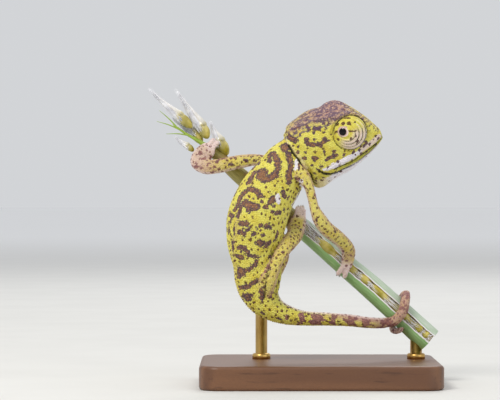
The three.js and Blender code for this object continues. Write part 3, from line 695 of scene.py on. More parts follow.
def clear_of_stem(points, gap=0.05):
    """Points inside the stem move straight out from its axis to just above its surface."""
    t = np.linspace(0, len(STEM_AXIS) - 1, 400)
    axis, radius = spline(STEM_AXIS, t), spline(np.repeat(STEM_RADII[:, None], 3, 1), t, 0)[:, 0]
    near = np.flatnonzero(line_distance(points, STEM_AXIS) < STEM_REACH)
    off = points[near][:, None] - axis[None]
    i = (off**2).sum(-1).argmin(1)
    off = off[np.arange(len(near)), i]
    reach = np.linalg.norm(off, axis=1)
    wanted = radius[i] + gap
    pushed = axis[i] + off / np.maximum(reach, 1e-6)[:, None] * np.maximum(reach, wanted)[:, None]
    out = points.copy()
    out[near] = pushed
    return out


# ---- Eye turrets and eyeballs ----

TURRET_RADIUS, TURRET_BULGE, TURRET_SIDE, TURRET_UP = 2.16, 1.85, 1.55, 0.44
EYEBALL_RADIUS = 1.1
LID_RADIUS = 0.45
RING_COUNT = 5.2
PUPIL_AT = np.array([-0.81, 0.76])  # forward and up from the turret's centre


def turret_surface(side, share, turn):
    """The turret's dome, as circles that slide from the lids (share 0) to its foot (share 1).

    A circle's centre goes from the pupil to the turret's centre and its radius from the lids' to
    the turret's. The height is that of a flattened sphere, with ring folds and a swollen lid.
    """
    radius = LID_RADIUS + (TURRET_RADIUS * 0.999 - LID_RADIUS) * share
    ease = share**0.8
    forward = PUPIL_AT[0] * (1 - ease) + radius * np.cos(turn)
    up = PUPIL_AT[1] * (1 - ease) + radius * np.sin(turn)
    off = np.minimum(np.hypot(forward, up) / TURRET_RADIUS, 1)
    lower = 0.35 + 0.65 * step(-0.3, 0.9, np.cos(turn + 0.95))
    folds = np.sin(share * TAU * RING_COUNT - 0.6) * step(0.1, 0.3, share) * step(1.0, 0.85, share)
    lids = bell(share - 0.03, 0.06)
    lift = 0.05 * folds * lower + 0.09 * lids - 0.05 * bell(share - 0.17, 0.05)
    scale = 1 + lift / TURRET_RADIUS
    high = TURRET_BULGE * np.sqrt(1 - off**2)
    return head_point(forward * scale, side * (TURRET_SIDE + high * scale), TURRET_UP + up * scale)


def turret_shell(side, rings=80, sides=96):
    """The dome on a grid of circles; its inner edge turns down over the eyeball."""
    share = np.concatenate([np.full(3, 0.0), np.linspace(0, 1, rings) ** 0.9])
    share, turn = np.meshgrid(share, np.arange(sides) * TAU / sides, indexing="ij")
    points = turret_surface(side, share, turn)
    middle = head_point(PUPIL_AT[0], side * (TURRET_SIDE + 0.9), TURRET_UP + PUPIL_AT[1])
    for row, pull in enumerate((0.42, 0.24, 0.08)):
        points[row] += (middle - points[row]) * pull
    outwards = [1, 2, 3, 0] if side > 0 else [0, 3, 2, 1]
    quads = grid_quads(len(points), sides)[:, outwards]
    return points.reshape(-1, 3), quads, share.ravel(), turn.ravel()


# ---- Markings ----

# Dark blotches as strokes on the right side: half-width and a line of (x, z).
BLOTCHES = [
    # the hook on the shoulder and its blob
    (0.36, [(-6.1, 29.0), (-5.7, 28.8), (-5.35, 28.2), (-5.25, 27.3), (-5.45, 26.6)]),
    (0.3, [(-6.35, 28.7), (-6.2, 28.0)]), (0.42, [(-5.5, 26.45), (-6.1, 26.0), (-6.9, 25.75)]),
    (0.62, [(-7.15, 26.6), (-7.35, 26.2), (-7.0, 25.95)]),
    # the band behind the head
    (0.46, [(-4.5, 29.9), (-4.35, 29.6)]), (0.34, [(-3.95, 28.95), (-3.75, 28.2), (-3.6, 27.8)]),
    (0.4, [(-3.6, 27.6), (-3.75, 26.9), (-3.9, 26.3), (-3.85, 25.5)]),
    (0.14, [(-2.7, 27.7), (-2.65, 27.0)]),
    # beside the spine, from the nape down
    (0.16, [(-5.2, 30.75), (-6.1, 30.0)]), (0.2, [(-7.1, 28.6), (-7.6, 27.7)]),
    (0.32, [(-8.2, 26.6), (-8.6, 26.0), (-8.95, 25.4)]), (0.15, [(-9.75, 25.2), (-10.5, 24.1)]),
    (0.3, [(-9.4, 24.2), (-9.9, 23.6), (-10.25, 22.7), (-10.6, 21.95)]),
    (0.23, [(-9.95, 22.3), (-10.3, 21.1)]), (0.28, [(-11.25, 21.45), (-10.95, 21.2)]),
    (0.18, [(-11.15, 20.7), (-11.4, 19.1)]), (0.17, [(-10.65, 20.3), (-10.7, 19.1), (-10.95, 17.0)]),
    # the first row of flank blotches
    (0.35, [(-8.75, 24.6), (-8.1, 24.45), (-7.5, 23.85)]),
    (0.5, [(-9.35, 22.7), (-8.75, 22.6), (-8.05, 22.35)]), (0.32, [(-8.9, 21.95)]),
    (0.16, [(-8.4, 23.35)]), (0.2, [(-7.3, 23.0)]), (0.38, [(-5.75, 23.45), (-6.2, 22.95)]),
    (0.36, [(-6.75, 22.3)]), (0.16, [(-5.75, 22.45)]), (0.16, [(-6.0, 21.7)]),
    (0.3, [(-4.65, 24.15), (-4.35, 23.65)]), (0.2, [(-4.0, 23.45)]), (0.3, [(-5.5, 21.6), (-5.0, 21.7)]),
    (0.2, [(-4.5, 21.95)]),
    # the second row
    (0.33, [(-9.85, 20.2), (-9.2, 20.25)]), (0.24, [(-8.95, 19.5)]),
    (0.33, [(-10.05, 19.25), (-9.5, 18.95)]), (0.18, [(-9.55, 19.7)]), (0.32, [(-7.4, 20.1)]),
    (0.27, [(-6.75, 19.95), (-6.25, 19.7)]), (0.16, [(-7.85, 19.65)]), (0.3, [(-8.3, 18.95)]),
    (0.2, [(-7.1, 18.85)]), (0.14, [(-7.5, 19.35)]), (0.38, [(-7.7, 17.95), (-7.25, 17.75)]),
    (0.28, [(-6.75, 17.45), (-6.3, 17.95)]), (0.22, [(-5.3, 19.2), (-5.7, 18.1)]),
    # the third row
    (0.3, [(-10.1, 17.3), (-9.5, 17.2), (-9.15, 16.7)]), (0.3, [(-10.35, 16.2), (-9.75, 16.05)]),
    (0.15, [(-9.85, 16.7)]), (0.25, [(-9.0, 16.3), (-8.35, 16.2), (-7.7, 16.0)]),
    (0.25, [(-8.0, 15.45), (-8.1, 15.1), (-8.75, 14.55), (-9.3, 14.45)]), (0.6, [(-9.85, 14.2)]),
    (0.33, [(-10.1, 13.6)]), (0.25, [(-10.1, 14.7)]), (0.24, [(-6.3, 16.15)]),
    (0.22, [(-6.5, 14.8), (-6.25, 14.7)]),
    # over the hip and the root of the tail
    (0.27, [(-10.0, 12.25), (-9.25, 12.3), (-8.6, 12.7), (-7.9, 13.1)]),
    (0.35, [(-9.5, 11.2), (-8.75, 11.3), (-9.1, 10.8)]), (0.28, [(-7.4, 11.95), (-7.25, 10.95)]),
    (0.14, [(-7.3, 9.2), (-6.9, 8.95)]), (0.16, [(-5.3, 8.5), (-4.9, 8.3)]),
]
HEAD_BLOTCHES = [
    (0.14, [(4.9, 29.45)]), (0.15, [(5.55, 29.95)]), (0.13, [(6.2, 30.2)]), (0.15, [(6.75, 30.7)]),
    (0.13, [(7.3, 30.95)]), (0.38, [(-3.85, 31.15), (-3.15, 30.6)]),
    # the open ring high on the temple
    (0.22, [(-1.5, 32.3), (-1.3, 31.95)]), (0.27, [(-0.8, 32.15), (-0.15, 32.15)]),
    (0.2, [(-0.78, 31.65)]), (0.13, [(0.05, 31.8)]),
    # the saddle on the cheek
    (0.3, [(-1.7, 30.7), (-1.5, 30.25), (-0.8, 30.05), (0.05, 30.1), (0.5, 30.5), (0.65, 30.85)]),
    (0.18, [(-0.7, 30.8)]), (0.2, [(1.1, 30.65)]), (0.24, [(0.75, 32.15)]), (0.25, [(1.1, 32.7)]),
    (0.2, [(0.45, 32.75)]), (0.14, [(-3.8, 31.95), (-2.7, 32.3)]), (0.12, [(-2.4, 31.75)]),
    (0.12, [(-2.55, 31.3)]), (0.11, [(-3.2, 31.6)]), (0.14, [(-2.7, 29.8)]), (0.16, [(-1.7, 29.15)]),
    (0.17, [(0.5, 29.2)]), (0.27, [(1.72, 29.2)]), (0.25, [(-1.9, 28.4)]),
    (0.34, [(-0.75, 28.35), (-0.6, 28.35)]), (0.28, [(0.9, 28.3), (1.6, 28.65), (2.0, 28.75)]),
    (0.24, [(2.95, 28.8)]), (0.22, [(2.25, 28.0)]), (0.26, [(-2.75, 29.15)]), (0.18, [(-1.0, 27.5)]),
    (0.23, [(0.15, 27.4)]), (0.18, [(-0.3, 26.95)]), (0.16, [(-0.7, 26.55)]), (0.15, [(0.35, 26.05)]),
    (0.15, [(-0.5, 25.65)]), (0.25, [(5.8, 30.35)]), (0.19, [(7.0, 30.2)]), (0.2, [(5.8, 29.25)]),
    (0.2, [(5.15, 29.0)]), (0.16, [(4.2, 29.15)]), (0.15, [(7.0, 31.2)]), (0.12, [(6.2, 31.95)]),
    (0.12, [(6.75, 32.2)]), (0.1, [(6.0, 32.45)]), (0.1, [(7.25, 31.75)]),
]
# Violet streaks on the tan crown and temple.
STREAKS = [
    (0.12, [(1.0, 33.5), (1.9, 33.8)]), (0.12, [(2.55, 33.8), (3.7, 34.1)]),
    (0.11, [(0.5, 34.55), (1.3, 34.45)]), (0.12, [(1.3, 34.1), (2.35, 34.05)]),
    (0.13, [(0.1, 33.0), (0.9, 33.2)]), (0.12, [(2.0, 35.3), (2.6, 35.2)]),
    (0.11, [(2.7, 35.1), (3.5, 34.95)]), (0.13, [(-2.4, 33.6), (-1.8, 34.0)]),
    (0.15, [(-1.3, 34.2), (-0.4, 34.55)]), (0.16, [(-0.6, 33.6), (0.1, 33.8)]),
    (0.12, [(-3.2, 32.8), (-2.8, 33.1)]), (0.13, [(-1.7, 33.2), (-1.1, 33.1)]),
    (0.12, [(4.4, 34.2), (5.2, 33.8)]), (0.1, [(5.5, 33.6), (6.1, 33.0)]),
    (0.12, [(-0.2, 35.0), (0.6, 35.1)]), (0.12, [(1.1, 35.3), (1.5, 35.0)]),
]
WHITES = [
    (0.17, [(-2.9, 28.1), (-3.05, 27.1)]), (0.29, [(-5.28, 23.7), (-5.2, 23.0)]),
    (0.24, [(-2.3, 25.6), (-2.15, 24.9)]), (0.15, [(-2.65, 24.2), (-3.1, 23.2), (-3.5, 22.6)]),
]
LIP_STRIPES = [
    (0.2, [(0.5, 27.0), (0.85, 27.07)]), (0.33, [(0.95, 27.1), (1.5, 27.3)]),
    (0.43, [(1.7, 27.42), (2.14, 27.59), (3.04, 28.08), (3.95, 28.52)]),
    (0.37, [(3.95, 28.5), (4.85, 29.13)]),
]
LIP_FRONT = (0.3, [(4.85, 29.13), (5.71, 29.78), (6.6, 30.45), (7.35, 31.1)])
HIND_RIM = (0.14, [(-4.3, 31.0), (-4.02, 30.3), (-3.45, 29.6), (-2.9, 28.9), (-2.2, 28.1), (-1.5, 27.2)])
# Spots on the eye turrets, and the dark bar through the pupil.
TURRET_SPOTS = [
    (0.26, [(2.87, 32.75)]), (0.28, [(3.62, 32.75)]), (0.24, [(2.15, 32.65)]),
    (0.16, [(3.1, 33.4), (3.65, 33.45)]), (0.15, [(4.35, 32.95)]), (0.2, [(2.25, 30.75)]),
    (0.18, [(3.9, 30.85)]), (0.16, [(4.6, 30.35), (4.75, 30.6)]), (0.16, [(4.5, 31.2)]),
    (0.15, [(1.48, 31.5), (2.0, 31.72), (2.5, 31.78)]),
    (0.13, [(3.3, 31.78), (4.4, 31.8), (5.68, 31.95)]),
]


def stroke_field(points, strokes):
    """Depth inside the nearest stroke: its half-width less the distance to its line."""
    depth = np.full(len(points), -0.5)
    for half, line in strokes:
        reach = half + 0.5 + np.ptp(line, 0).max()
        near = np.flatnonzero((np.abs(points - line.mean(0)) < reach).all(1))
        depth[near] = np.maximum(depth[near], half - line_distance(points[near], line))
    return depth


def both_sides_of_head(tree, strokes):
    seen = [(half, seen_on_skin(tree, line)) for half, line in strokes]
    other = [(half, snapped(tree, mirrored_head(line))) for half, line in seen]
    return seen + other


def snapped(tree, points):
    return np.array([tree.find_nearest(Vector(p))[0] for p in points])


def both_flanks(tree, strokes):
    """Strokes of the right flank, and the same on the left a little out of step."""
    out = []
    for half, line in strokes:
        half, line = half * 1.1, seen_on_skin(tree, line)
        out.append((half, line))
        station, angle, _ = BODY.locate(line)
        if (angle - spine_angle(station)).max() < -0.35:
            shift, turn = rng.uniform(-0.22, 0.22), rng.uniform(-0.15, 0.15)
            other = BODY.surface(station + shift, 2 * spine_angle(station) - angle + turn)
            out.append((half * rng.uniform(0.85, 1.1), snapped(tree, other)))
    return out


def point_tree(points):
    tree = KDTree(len(points))
    for i, p in enumerate(points.tolist()):
        tree.insert(p, i)
    tree.balance()
    return tree


def spread_points(points, quads, spacing, tries=7):
    """Random places on a surface, none nearer to another than its own spacing."""
    a, b, c, d = (points[quads[:, k]] for k in range(4))
    area = np.linalg.norm(np.cross(c - a, d - b), axis=1) / 2
    room = spacing[quads].mean(1)
    weight = area / room**2
    count = int(weight.sum() * tries)
    face = rng.choice(len(quads), count, p=weight / weight.sum())
    u, v = rng.random((2, count, 1))
    at = (a[face] * (1 - u) + b[face] * u) * (1 - v) + (d[face] * (1 - u) + c[face] * u) * v
    tree = point_tree(at)
    free, kept, gap = np.ones(count, bool), [], room[face]
    for i, p in enumerate(at.tolist()):
        if free[i]:
            kept.append(i)
            for _, other, _ in tree.find_range(p, gap[i]):
                free[other] = False
    kept = np.array(kept)
    return at[kept], face[kept], gap[kept]


RING_PITCH = 2.15  # along the tail, from one dark ring to the next
# Where the lower jaw ends and the throat starts: forward of the eye, and up.
JAW_EDGE = (
    [-7.0, -5.8, -4.6, -3.4, -2.2, -1.0, 0.2, 1.4, 2.6, 3.4],
    [-3.6, -3.75, -3.85, -3.75, -3.6, -3.5, -3.45, -3.2, -2.75, -2.3],
)


def toe_share(place, back):
    """Which places lie on toes, or within some stations of them."""
    out = place.on(*FAR_PARTS) & (place.station > 4.5)
    for part in NEAR_PARTS:
        out |= place.on(part) & (place.station > FLESH[part - 1].last - back)
    return out


def crown_share(place):
    """How far up the crown a place is, across a soft edge from the nape over the brow to the nose."""
    lean_up = place.up + 0.55 * np.abs(place.side)
    forward = [-7.5, -6.0, -4.2, -2.6, -1.4, 0.0, 1.4, 2.6, 3.4]
    edge = np.interp(place.forward, forward, [3.3, 3.7, 4.1, 3.7, 3.45, 3.4, 2.75, 1.1, -0.35])
    return step(-0.75, 1.5, lean_up - edge) * place.on(HEAD_PART)


class Pattern:
    """The animal's markings, worked out once and read at any place on it."""

    def __init__(self, points, quads):
        tree = skin_tree(points, quads)
        self.blotches = both_flanks(tree, BLOTCHES) + both_sides_of_head(tree, HEAD_BLOTCHES)
        self.streaks = both_sides_of_head(tree, STREAKS)
        self.whites = both_flanks(tree, WHITES[:2])
        self.whites += [(half, seen_on_skin(tree, line)) for half, line in WHITES[2:]]
        self.lip = both_sides_of_head(tree, LIP_STRIPES)
        self.lip_front = both_sides_of_head(tree, [LIP_FRONT])
        self.hind_rim = both_sides_of_head(tree, [HIND_RIM])
        place = Places(points)
        limb = place.on(*NEAR_PARTS, *FAR_PARTS)
        left_arm = place.on(NEAR_PARTS[LEFT_ARM], FAR_PARTS[LEFT_ARM])
        belly = place.on(BODY_PART) & (np.abs(place.angle) > 1.9)
        tail = place.on(BODY_PART) & (place.station > TAIL_ROOT)
        spacing = np.select([place.on(HEAD_PART), limb, belly, tail], [0.8, 0.45, 0.46, 0.5], 0.56)
        at = spread_points(points, quads, spacing, 3)[0]
        at = at[(stroke_field(at, self.blotches) < -0.2) & ~toe_share(Places(at), 0.6)]
        self.dots = point_tree(at)
        self.dot_size = np.clip(rng.normal(0.16, 0.03, len(at)), 0.11, 0.21)
        self.dot_size -= 0.02 * Places(at).on(*NEAR_PARTS, *FAR_PARTS)
        crown = crown_share(place) > 0.12
        self.streaks += self.dashes(tree, points, quads, crown, 0.46, (0.08, 0.12), (0.16, 0.42), 0.2)
        limb &= ~toe_share(place, 1.4)
        mottled = np.where(left_arm, 0.8, 1.5)
        self.mottles = self.dashes(tree, points, quads, limb, mottled, (0.12, 0.2), (0.02, 0.2), 0.6)

    def dashes(self, tree, points, quads, on, spacing, half, length, turn):
        """Short strokes spread over part of the skin, near the way its scales lie."""
        spacing = np.broadcast_to(spacing, len(points)).astype(float)
        at = spread_points(points, quads[on[quads].all(1)], spacing, 3)[0]
        along = Places(at).along()
        reach = rng.uniform(*length, (len(at), 1))
        aside = unit(rng.normal(0, 1, at.shape)) * turn * reach
        lines = np.stack([at - along * reach - aside, at, at + along * reach + aside], 1)
        return [(rng.uniform(*half), snapped(tree, line)) for line in lines]

    def dot_depth(self, points):
        found = [self.dots.find(p)[1:] for p in points.tolist()]
        index, distance = np.array(found).T
        return self.dot_size[index.astype(int)] - distance

    def fields(self, points, crease=None):
        """Every marking at these points, with the painted shade in the folds and on the belly, as depths in
        millimetres and shares from 0 to 1.
        """
        place = Places(points)
        head, body = place.on(HEAD_PART), place.on(BODY_PART)
        limb = place.on(*NEAR_PARTS, *FAR_PARTS)
        flank = np.abs(place.angle)
        blotch = np.maximum(stroke_field(points, self.blotches), stroke_field(points, self.mottles))
        dots = self.dot_depth(points)
        white = stroke_field(points, self.whites) + 0.04
        blotch = np.where(white > -0.06, -0.5, blotch)
        white = np.maximum(white, stroke_field(points, self.lip))
        belly_line = np.maximum(white, 0.13 - (np.pi - flank) * 2.4)
        white = np.where(body & (place.station > 1.5) & (place.station < 9.5), belly_line, white)

        # the tail's rings: broad dark saddles that close as the tail thins
        arc = np.interp(place.station, ARC_STATION, ARC_LENGTH) - TAIL_START_ARC
        beat = np.abs(((arc + 0.35 * np.sin(arc * 1.7)) / RING_PITCH) % 1 - 0.5) * RING_PITCH
        ring = 0.5 - beat + 0.2 * np.sin(flank * 4 + arc * 2.3)
        ring -= 0.2 * step(16.5, 18.5, place.station)
        ring = np.minimum(np.minimum(ring, (2.3 - flank) * 0.5), 0.17)
        curl = step(15.5, 17.0, place.station)
        ring = np.minimum(ring, (flank - 0.35) * 0.5 + 0.5 * curl)
        on_tail = body & (place.station > TAIL_ROOT + 0.6)
        blotch = np.where(on_tail, np.maximum(blotch, ring), blotch)
        tail_share = step(TAIL_ROOT + 1.5, TAIL_ROOT + 4.5, place.station) * body

        # tan: the crown, the spine's ridge, the tail and its rings, and the edges of the limbs
        left_arm = place.on(NEAR_PARTS[LEFT_ARM], FAR_PARTS[LEFT_ARM])
        right_arm, right_leg = place.on(NEAR_PARTS[RIGHT_ARM]), place.on(NEAR_PARTS[RIGHT_LEG])
        reach = np.where(limb, place.station, 0)
        tan = np.maximum.reduce([
            crown_share(place) * head,
            bell(place.angle, 0.15) * body * step(1.5, 3.0, place.station) * 0.35,
            tail_share * (0.24 + 0.7 * np.maximum(step(1.1, 2.2, flank), 0.8 * curl)),
            on_tail * step(-0.12, 0.02, ring) * 0.58,
            limb * (0.32 + 0.3 * step(0.5, 0.95, np.abs(np.sin(place.angle)))),
            left_arm * (0.3 + 0.4 * step(3.5, 6.5, reach)),
            np.maximum(right_arm * step(7.2, 10.0, reach), place.on(*FAR_PARTS)) * 0.55,
        ])
        cast = -0.1 + 0.085 * step(0.2, 0.9, crown_share(place))
        streak = np.maximum(stroke_field(points, self.streaks), cast)

        # pale: toes, the tail's upper side and end, throat, lips, and the limbs' outer edges
        inner = right_arm | right_leg | (left_arm & (reach > 8.6))
        side = np.sin(place.angle) * np.where(inner, 1, -1)
        arm_edge, leg_edge = 0.3 + 0.6 * step(6.5, 9.0, reach), 0.7 * step(5.5, 8.0, reach)
        share = np.select([right_leg, right_arm, left_arm], [leg_edge, arm_edge, 0.7], 0.25)
        under_tail = step(2.2, 2.8, flank) * body * step(TAIL_ROOT - 1.2, TAIL_ROOT + 0.5, place.station)
        jaw = np.interp(place.forward, *JAW_EDGE)
        throat = head * step(0.12, -0.22, place.up - jaw) * step(-6.9, -5.6, place.forward)
        toes = [
            place.on(part) * step(FLESH[part - 1].last - 2.2, FLESH[part - 1].last - 0.8, place.station) * 0.92
            for part in NEAR_PARTS
        ]
        pale = np.maximum.reduce([
            *toes,
            place.on(*FAR_PARTS) * step(3.0, 6.0, place.station) * 0.7,
            limb * share * step(0.5, 0.95, side),
            left_arm * 0.45 * step(5.0, 7.5, reach),
            under_tail * 0.8,
            tail_share * 0.3 * step(21, 25, place.station),
            step(-0.14, 0.04, stroke_field(points, self.lip_front)) * 0.85,
            step(-0.2, 0.1, stroke_field(points, self.hind_rim)) * 0.35,
            throat * 0.45,
        ])
        chin = 0.09 * throat * step(-6.4, -3.5, place.forward) - 0.045 - 0.3 * (throat <= 0)
        white = np.maximum(white, chin)
        green = head * step(0.9, 0.3, place.up - jaw) * (0.25 + 0.5 * step(-3.6, -1.5, place.forward))
        # the lower flanks and belly olive: painted shade on the underside
        green = np.maximum(green, body * step(1.7, 2.6, flank) * 0.35)
        return {
            "blotch": blotch,
            "dots": dots,
            "streak": streak,
            "white": white,
            "tan": tan,
            "pale": pale,
            "green": green,
            # painted shade in the folds
            "crease": np.zeros(len(points)) if crease is None else crease,
        }


ARC_STATION = np.linspace(0, BODY.last, 600)
ARC_LENGTH = lengths_along(spline(BODY.at, ARC_STATION))
TAIL_START_ARC = np.interp(TAIL_ROOT, ARC_STATION, ARC_LENGTH)

# ---- Materials ----


class Nodes:
    """Adds nodes to a tree: inputs are given by name or number, as values or as other sockets."""

    def __init__(self, tree):
        self.tree = tree

    def add(self, kind, inputs=None, **settings):
        node = self.tree.nodes.new("ShaderNode" + kind)
        for key, value in settings.items():
            setattr(node, key, value)
        return self.feed(node, inputs or {})

    def feed(self, node, inputs):
        for key, value in inputs.items():
            if isinstance(value, bpy.types.NodeSocket):
                self.tree.links.new(value, node.inputs[key])
            else:
                node.inputs[key].default_value = value
        return node

    def math(self, operation, a, b=0.0):
        return self.add("Math", {0: a, 1: b}, operation=operation).outputs[0]

    def plus(self, a, b):
        return self.math("ADD", a, b)

    def minus(self, a, b):
        return self.math("SUBTRACT", a, b)

    def times(self, a, b):
        return self.math("MULTIPLY", a, b)

    def mix(self, factor, a, b, blend="MIX"):
        node = self.add("Mix", {0: factor, 6: a, 7: b}, data_type="RGBA", blend_type=blend)
        return node.outputs[2]

    def rise(self, value, low, high, top=1.0):
        node = self.add("MapRange", {0: value, 1: low, 2: high, 4: top}, interpolation_type="SMOOTHSTEP")
        return node.outputs[0]

    def field(self, name):
        return self.add("Attribute", attribute_name=name).outputs["Fac"]

    def noise(self, scale, detail=2.0, vector=None, rough=0.55):
        vector = self.place() if vector is None else vector
        inputs = {"Vector": vector, "Scale": scale, "Detail": detail, "Roughness": rough}
        return self.add("TexNoise", inputs).outputs["Fac"]

    def swing(self, scale, detail, size):
        """Noise either side of nothing."""
        return self.times(self.minus(self.noise(scale, detail), 0.5), size)

    def bump(self, height, strength, distance):
        return self.add("Bump", {"Height": height, "Strength": strength, "Distance": distance}).outputs[0]

    def place(self):
        return self.add("TexCoord").outputs["Object"]


def colour(red, green, blue):
    """A colour as the eye names it, 0 to 255, turned into the linear values that shaders use."""
    c = np.array([red, green, blue]) / 255
    return (*np.where(c <= 0.04045, c / 12.92, ((c + 0.055) / 1.055) ** 2.4), 1.0)


def material(name):
    made = bpy.data.materials.new(name)
    made.use_nodes = True
    made.node_tree.nodes.clear()
    nodes = Nodes(made.node_tree)
    shader = nodes.add("BsdfPrincipled")
    nodes.add("OutputMaterial", {0: shader.outputs[0]})
    return made, nodes, shader


def group(name, inputs, outputs):
    """A shader node group with these float inputs and these outputs of (name, socket kind)."""
    tree = bpy.data.node_groups.new(name, "ShaderNodeTree")
    for key, value in inputs.items():
        tree.interface.new_socket(key, in_out="INPUT", socket_type="NodeSocketFloat").default_value = value
    for key, kind in outputs.items():
        tree.interface.new_socket(key, in_out="OUTPUT", socket_type="NodeSocket" + kind)
    return tree, Nodes(tree), tree.nodes.new("NodeGroupInput"), tree.nodes.new("NodeGroupOutput")


YELLOW = colour(232, 226, 116)
DEEP_YELLOW = colour(222, 208, 88)
OLIVE = colour(172, 172, 52)
TAN = colour(198, 162, 148)
PALE = colour(238, 220, 222)
WHITE = colour(238, 233, 238)
BROWN = colour(146, 96, 78)
VIOLET = colour(88, 58, 82)
DOT = colour(92, 48, 42)
ROSE = colour(148, 100, 98)
ROSE_BROWN = colour(182, 132, 112)
FLECK = colour(184, 140, 66)
STREAK = colour(104, 82, 110)
SHADE = colour(30, 24, 14)


def skin_colour_group():
    """Ground colour by region, olive on the lower jaw and, as painted shade, on the belly; then blotches with
    violet rims, dots, streaks, white marks, and painted shade in the folds.
    """
    tree, n, given, out = group("skin_colours", {"Mottle": 0.5}, {"Colour": "Color"})
    wobble = n.swing(5200, 3, 0.3)
    lobes = n.add("TexVoronoi", {"Vector": n.place(), "Scale": 2500.0}, feature="SMOOTH_F1").outputs["Distance"]
    broad = n.times(n.minus(0.42, lobes), 0.42)
    ground = n.mix(n.rise(n.noise(900, 2), 0.35, 0.7), YELLOW, DEEP_YELLOW)
    # green: the lower jaw's own yellow-green, and painted shade on the belly
    ground = n.mix(n.field("green"), ground, OLIVE)
    ground = n.mix(n.rise(n.plus(n.field("tan"), n.swing(2600, 3, 0.6)), 0.05, 0.95), ground, TAN)
    ground = n.mix(n.field("pale"), ground, PALE)
    fine = n.times(n.rise(n.noise(7500, 2), 0.62, 0.3), given.outputs["Mottle"])
    ground = n.mix(fine, ground, n.mix(0.5, ground, DEEP_YELLOW, "MULTIPLY"))
    depth = n.plus(n.plus(n.field("blotch"), wobble), n.plus(broad, 0.02))
    inner = n.rise(n.plus(depth, n.swing(3300, 2, 1.5)), 0.1, 0.46)
    flecks = n.times(n.rise(depth, 0.2, 0.42), n.rise(n.noise(4600, 2, rough=0.4), 0.54, 0.66))
    blotch = n.mix(n.times(flecks, 0.8), n.mix(inner, VIOLET, BROWN), FLECK)
    rosy = n.rise(n.field("tan"), 0.28, 0.62, 0.9)
    blotch = n.mix(rosy, blotch, n.mix(inner, ROSE, ROSE_BROWN))
    white = n.rise(n.plus(n.field("white"), n.times(wobble, 0.25)), -0.02, 0.04)
    dots = n.rise(n.plus(n.field("dots"), wobble), -0.03, 0.03)
    streak = n.rise(n.plus(n.plus(n.field("streak"), n.times(broad, 0.5)), wobble), -0.06, 0.05)
    result = n.mix(white, ground, WHITE)
    result = n.mix(n.times(n.rise(depth, -0.05, 0.06), 0.94), result, blotch)
    result = n.mix(n.times(dots, 0.92), result, n.mix(rosy, DOT, ROSE))
    result = n.mix(n.times(streak, 0.8), result, STREAK)
    # painted shade darkens the folds, grooves and turret rings
    result = n.mix(n.rise(n.field("crease"), 0.1, 0.85, 0.96), result, SHADE)
    n.feed(out, {"Colour": result})
    return tree


SKIN_COLOURS = skin_colour_group()


def skin_material():
    """Soft skin between the scales: the markings, darkened as painted shade between the scales, with a bump of
    granules.
    """
    made, n, shader = material("skin")
    colours = n.add("Group", {"Mottle": 0.6}, node_tree=SKIN_COLOURS).outputs[0]
    cells = n.add("TexVoronoi", {"Vector": n.place(), "Scale": 5200.0})
    seam = n.rise(cells.outputs["Distance"], 0.55, 0.15)
    # the multiply darkens the skin: painted shade in the gaps between the scales
    shade, bump = n.mix(0.35, colours, colours, "MULTIPLY"), n.bump(seam, 0.35, 0.00005)
    n.feed(shader, {"Base Color": shade, "Normal": bump, "Roughness": 0.55, "Specular IOR Level": 0.3})
    return made


def scale_material():
    """Scales: lighter or darker by their own tone, with painted shade round the foot."""
    made, n, shader = material("scale")
    colours = n.add("Group", {"Mottle": 0.5}, node_tree=SKIN_COLOURS).outputs[0]
    deep = n.mix(1.0, colours, colours, "MULTIPLY")
    # painted shade: each scale darker round its foot ring, where it meets the skin
    shade = n.mix(n.times(n.field("rim"), 0.3), colours, deep)
    shade = n.mix(n.times(n.field("tone"), 0.22), shade, deep)
    rough = n.rise(n.noise(6000, 1), 0.2, 0.8, 0.6)
    n.feed(shader, {"Base Color": shade, "Roughness": rough, "Specular IOR Level": 0.35})
    return made


# ---- The animal's pieces ----

skin_points, skin_quads = welded_shells()
skin_points = eased(skin_points, skin_quads, 6)
spine_at, spine_turn, _ = BODY.locate(seen_on_skin(skin_tree(skin_points, skin_quads), SPINE_LINE))
SPINE_STATION = np.concatenate([[0.3], spine_at, [spine_at[-1] + 1.2]])
SPINE_ANGLE = np.concatenate([[0.0], spine_turn, [0.0]])
skin_points, skin_crease = shaped(skin_points, skin_quads)
pattern = Pattern(skin_points, skin_quads)
skin_fields = pattern.fields(skin_points, skin_crease)


def turret_fields(points, share, turn, spots):
    """The turret's markings: yellow above, grey white rings below, spots round a pale lid, and painted shade in
    its folds, at its foot and round the lids.
    """
    count = len(share)
    below = step(-0.1, 0.75, np.cos(turn + 1.25)) * step(0.12, 0.4, share)
    front = step(0.1, 0.9, np.cos(turn + 0.35)) * step(0.45, 0.6, share)
    wave = np.sin(share * TAU * RING_COUNT - 0.6)
    crest, valley = step(0.1, 0.9, wave), step(-0.45, -0.98, wave) * step(0.2, 0.35, share)
    rim = step(0.88, 0.93, share)
    lid = step(0.075, 0.045, share)
    lower = np.maximum(below, 0.55 * front * crest)
    # gap: painted shade where the turret meets the head and where its lids turn in
    gap = np.maximum(step(0.975, 1.0, share) * 0.8, 0.9 * (share <= 0))
    return {
        "blotch": np.full(count, -0.5),
        "dots": np.where(lid > 0.5, -0.5, stroke_field(points, spots) - 0.02 * below),
        "streak": np.full(count, -0.5),
        "white": -0.06 + 0.09 * rim * below * (share < 0.97) - 0.3 * (below <= 0),
        "tan": np.clip(0.25 * rim * (1 - below), 0, 1) * (1 - lid),
        "pale": np.clip(lower * (0.72 + 0.2 * crest) + lid * 0.95, 0, 0.95),
        "green": 0.35 * valley * front * (1 - below),
        # painted shade in the gaps, the ring folds' valleys and the groove round the lids
        "crease": np.clip(gap + valley * (0.62 * below + 0.3 * front) + 0.3 * bell(share - 0.135, 0.02), 0, 1),
    }


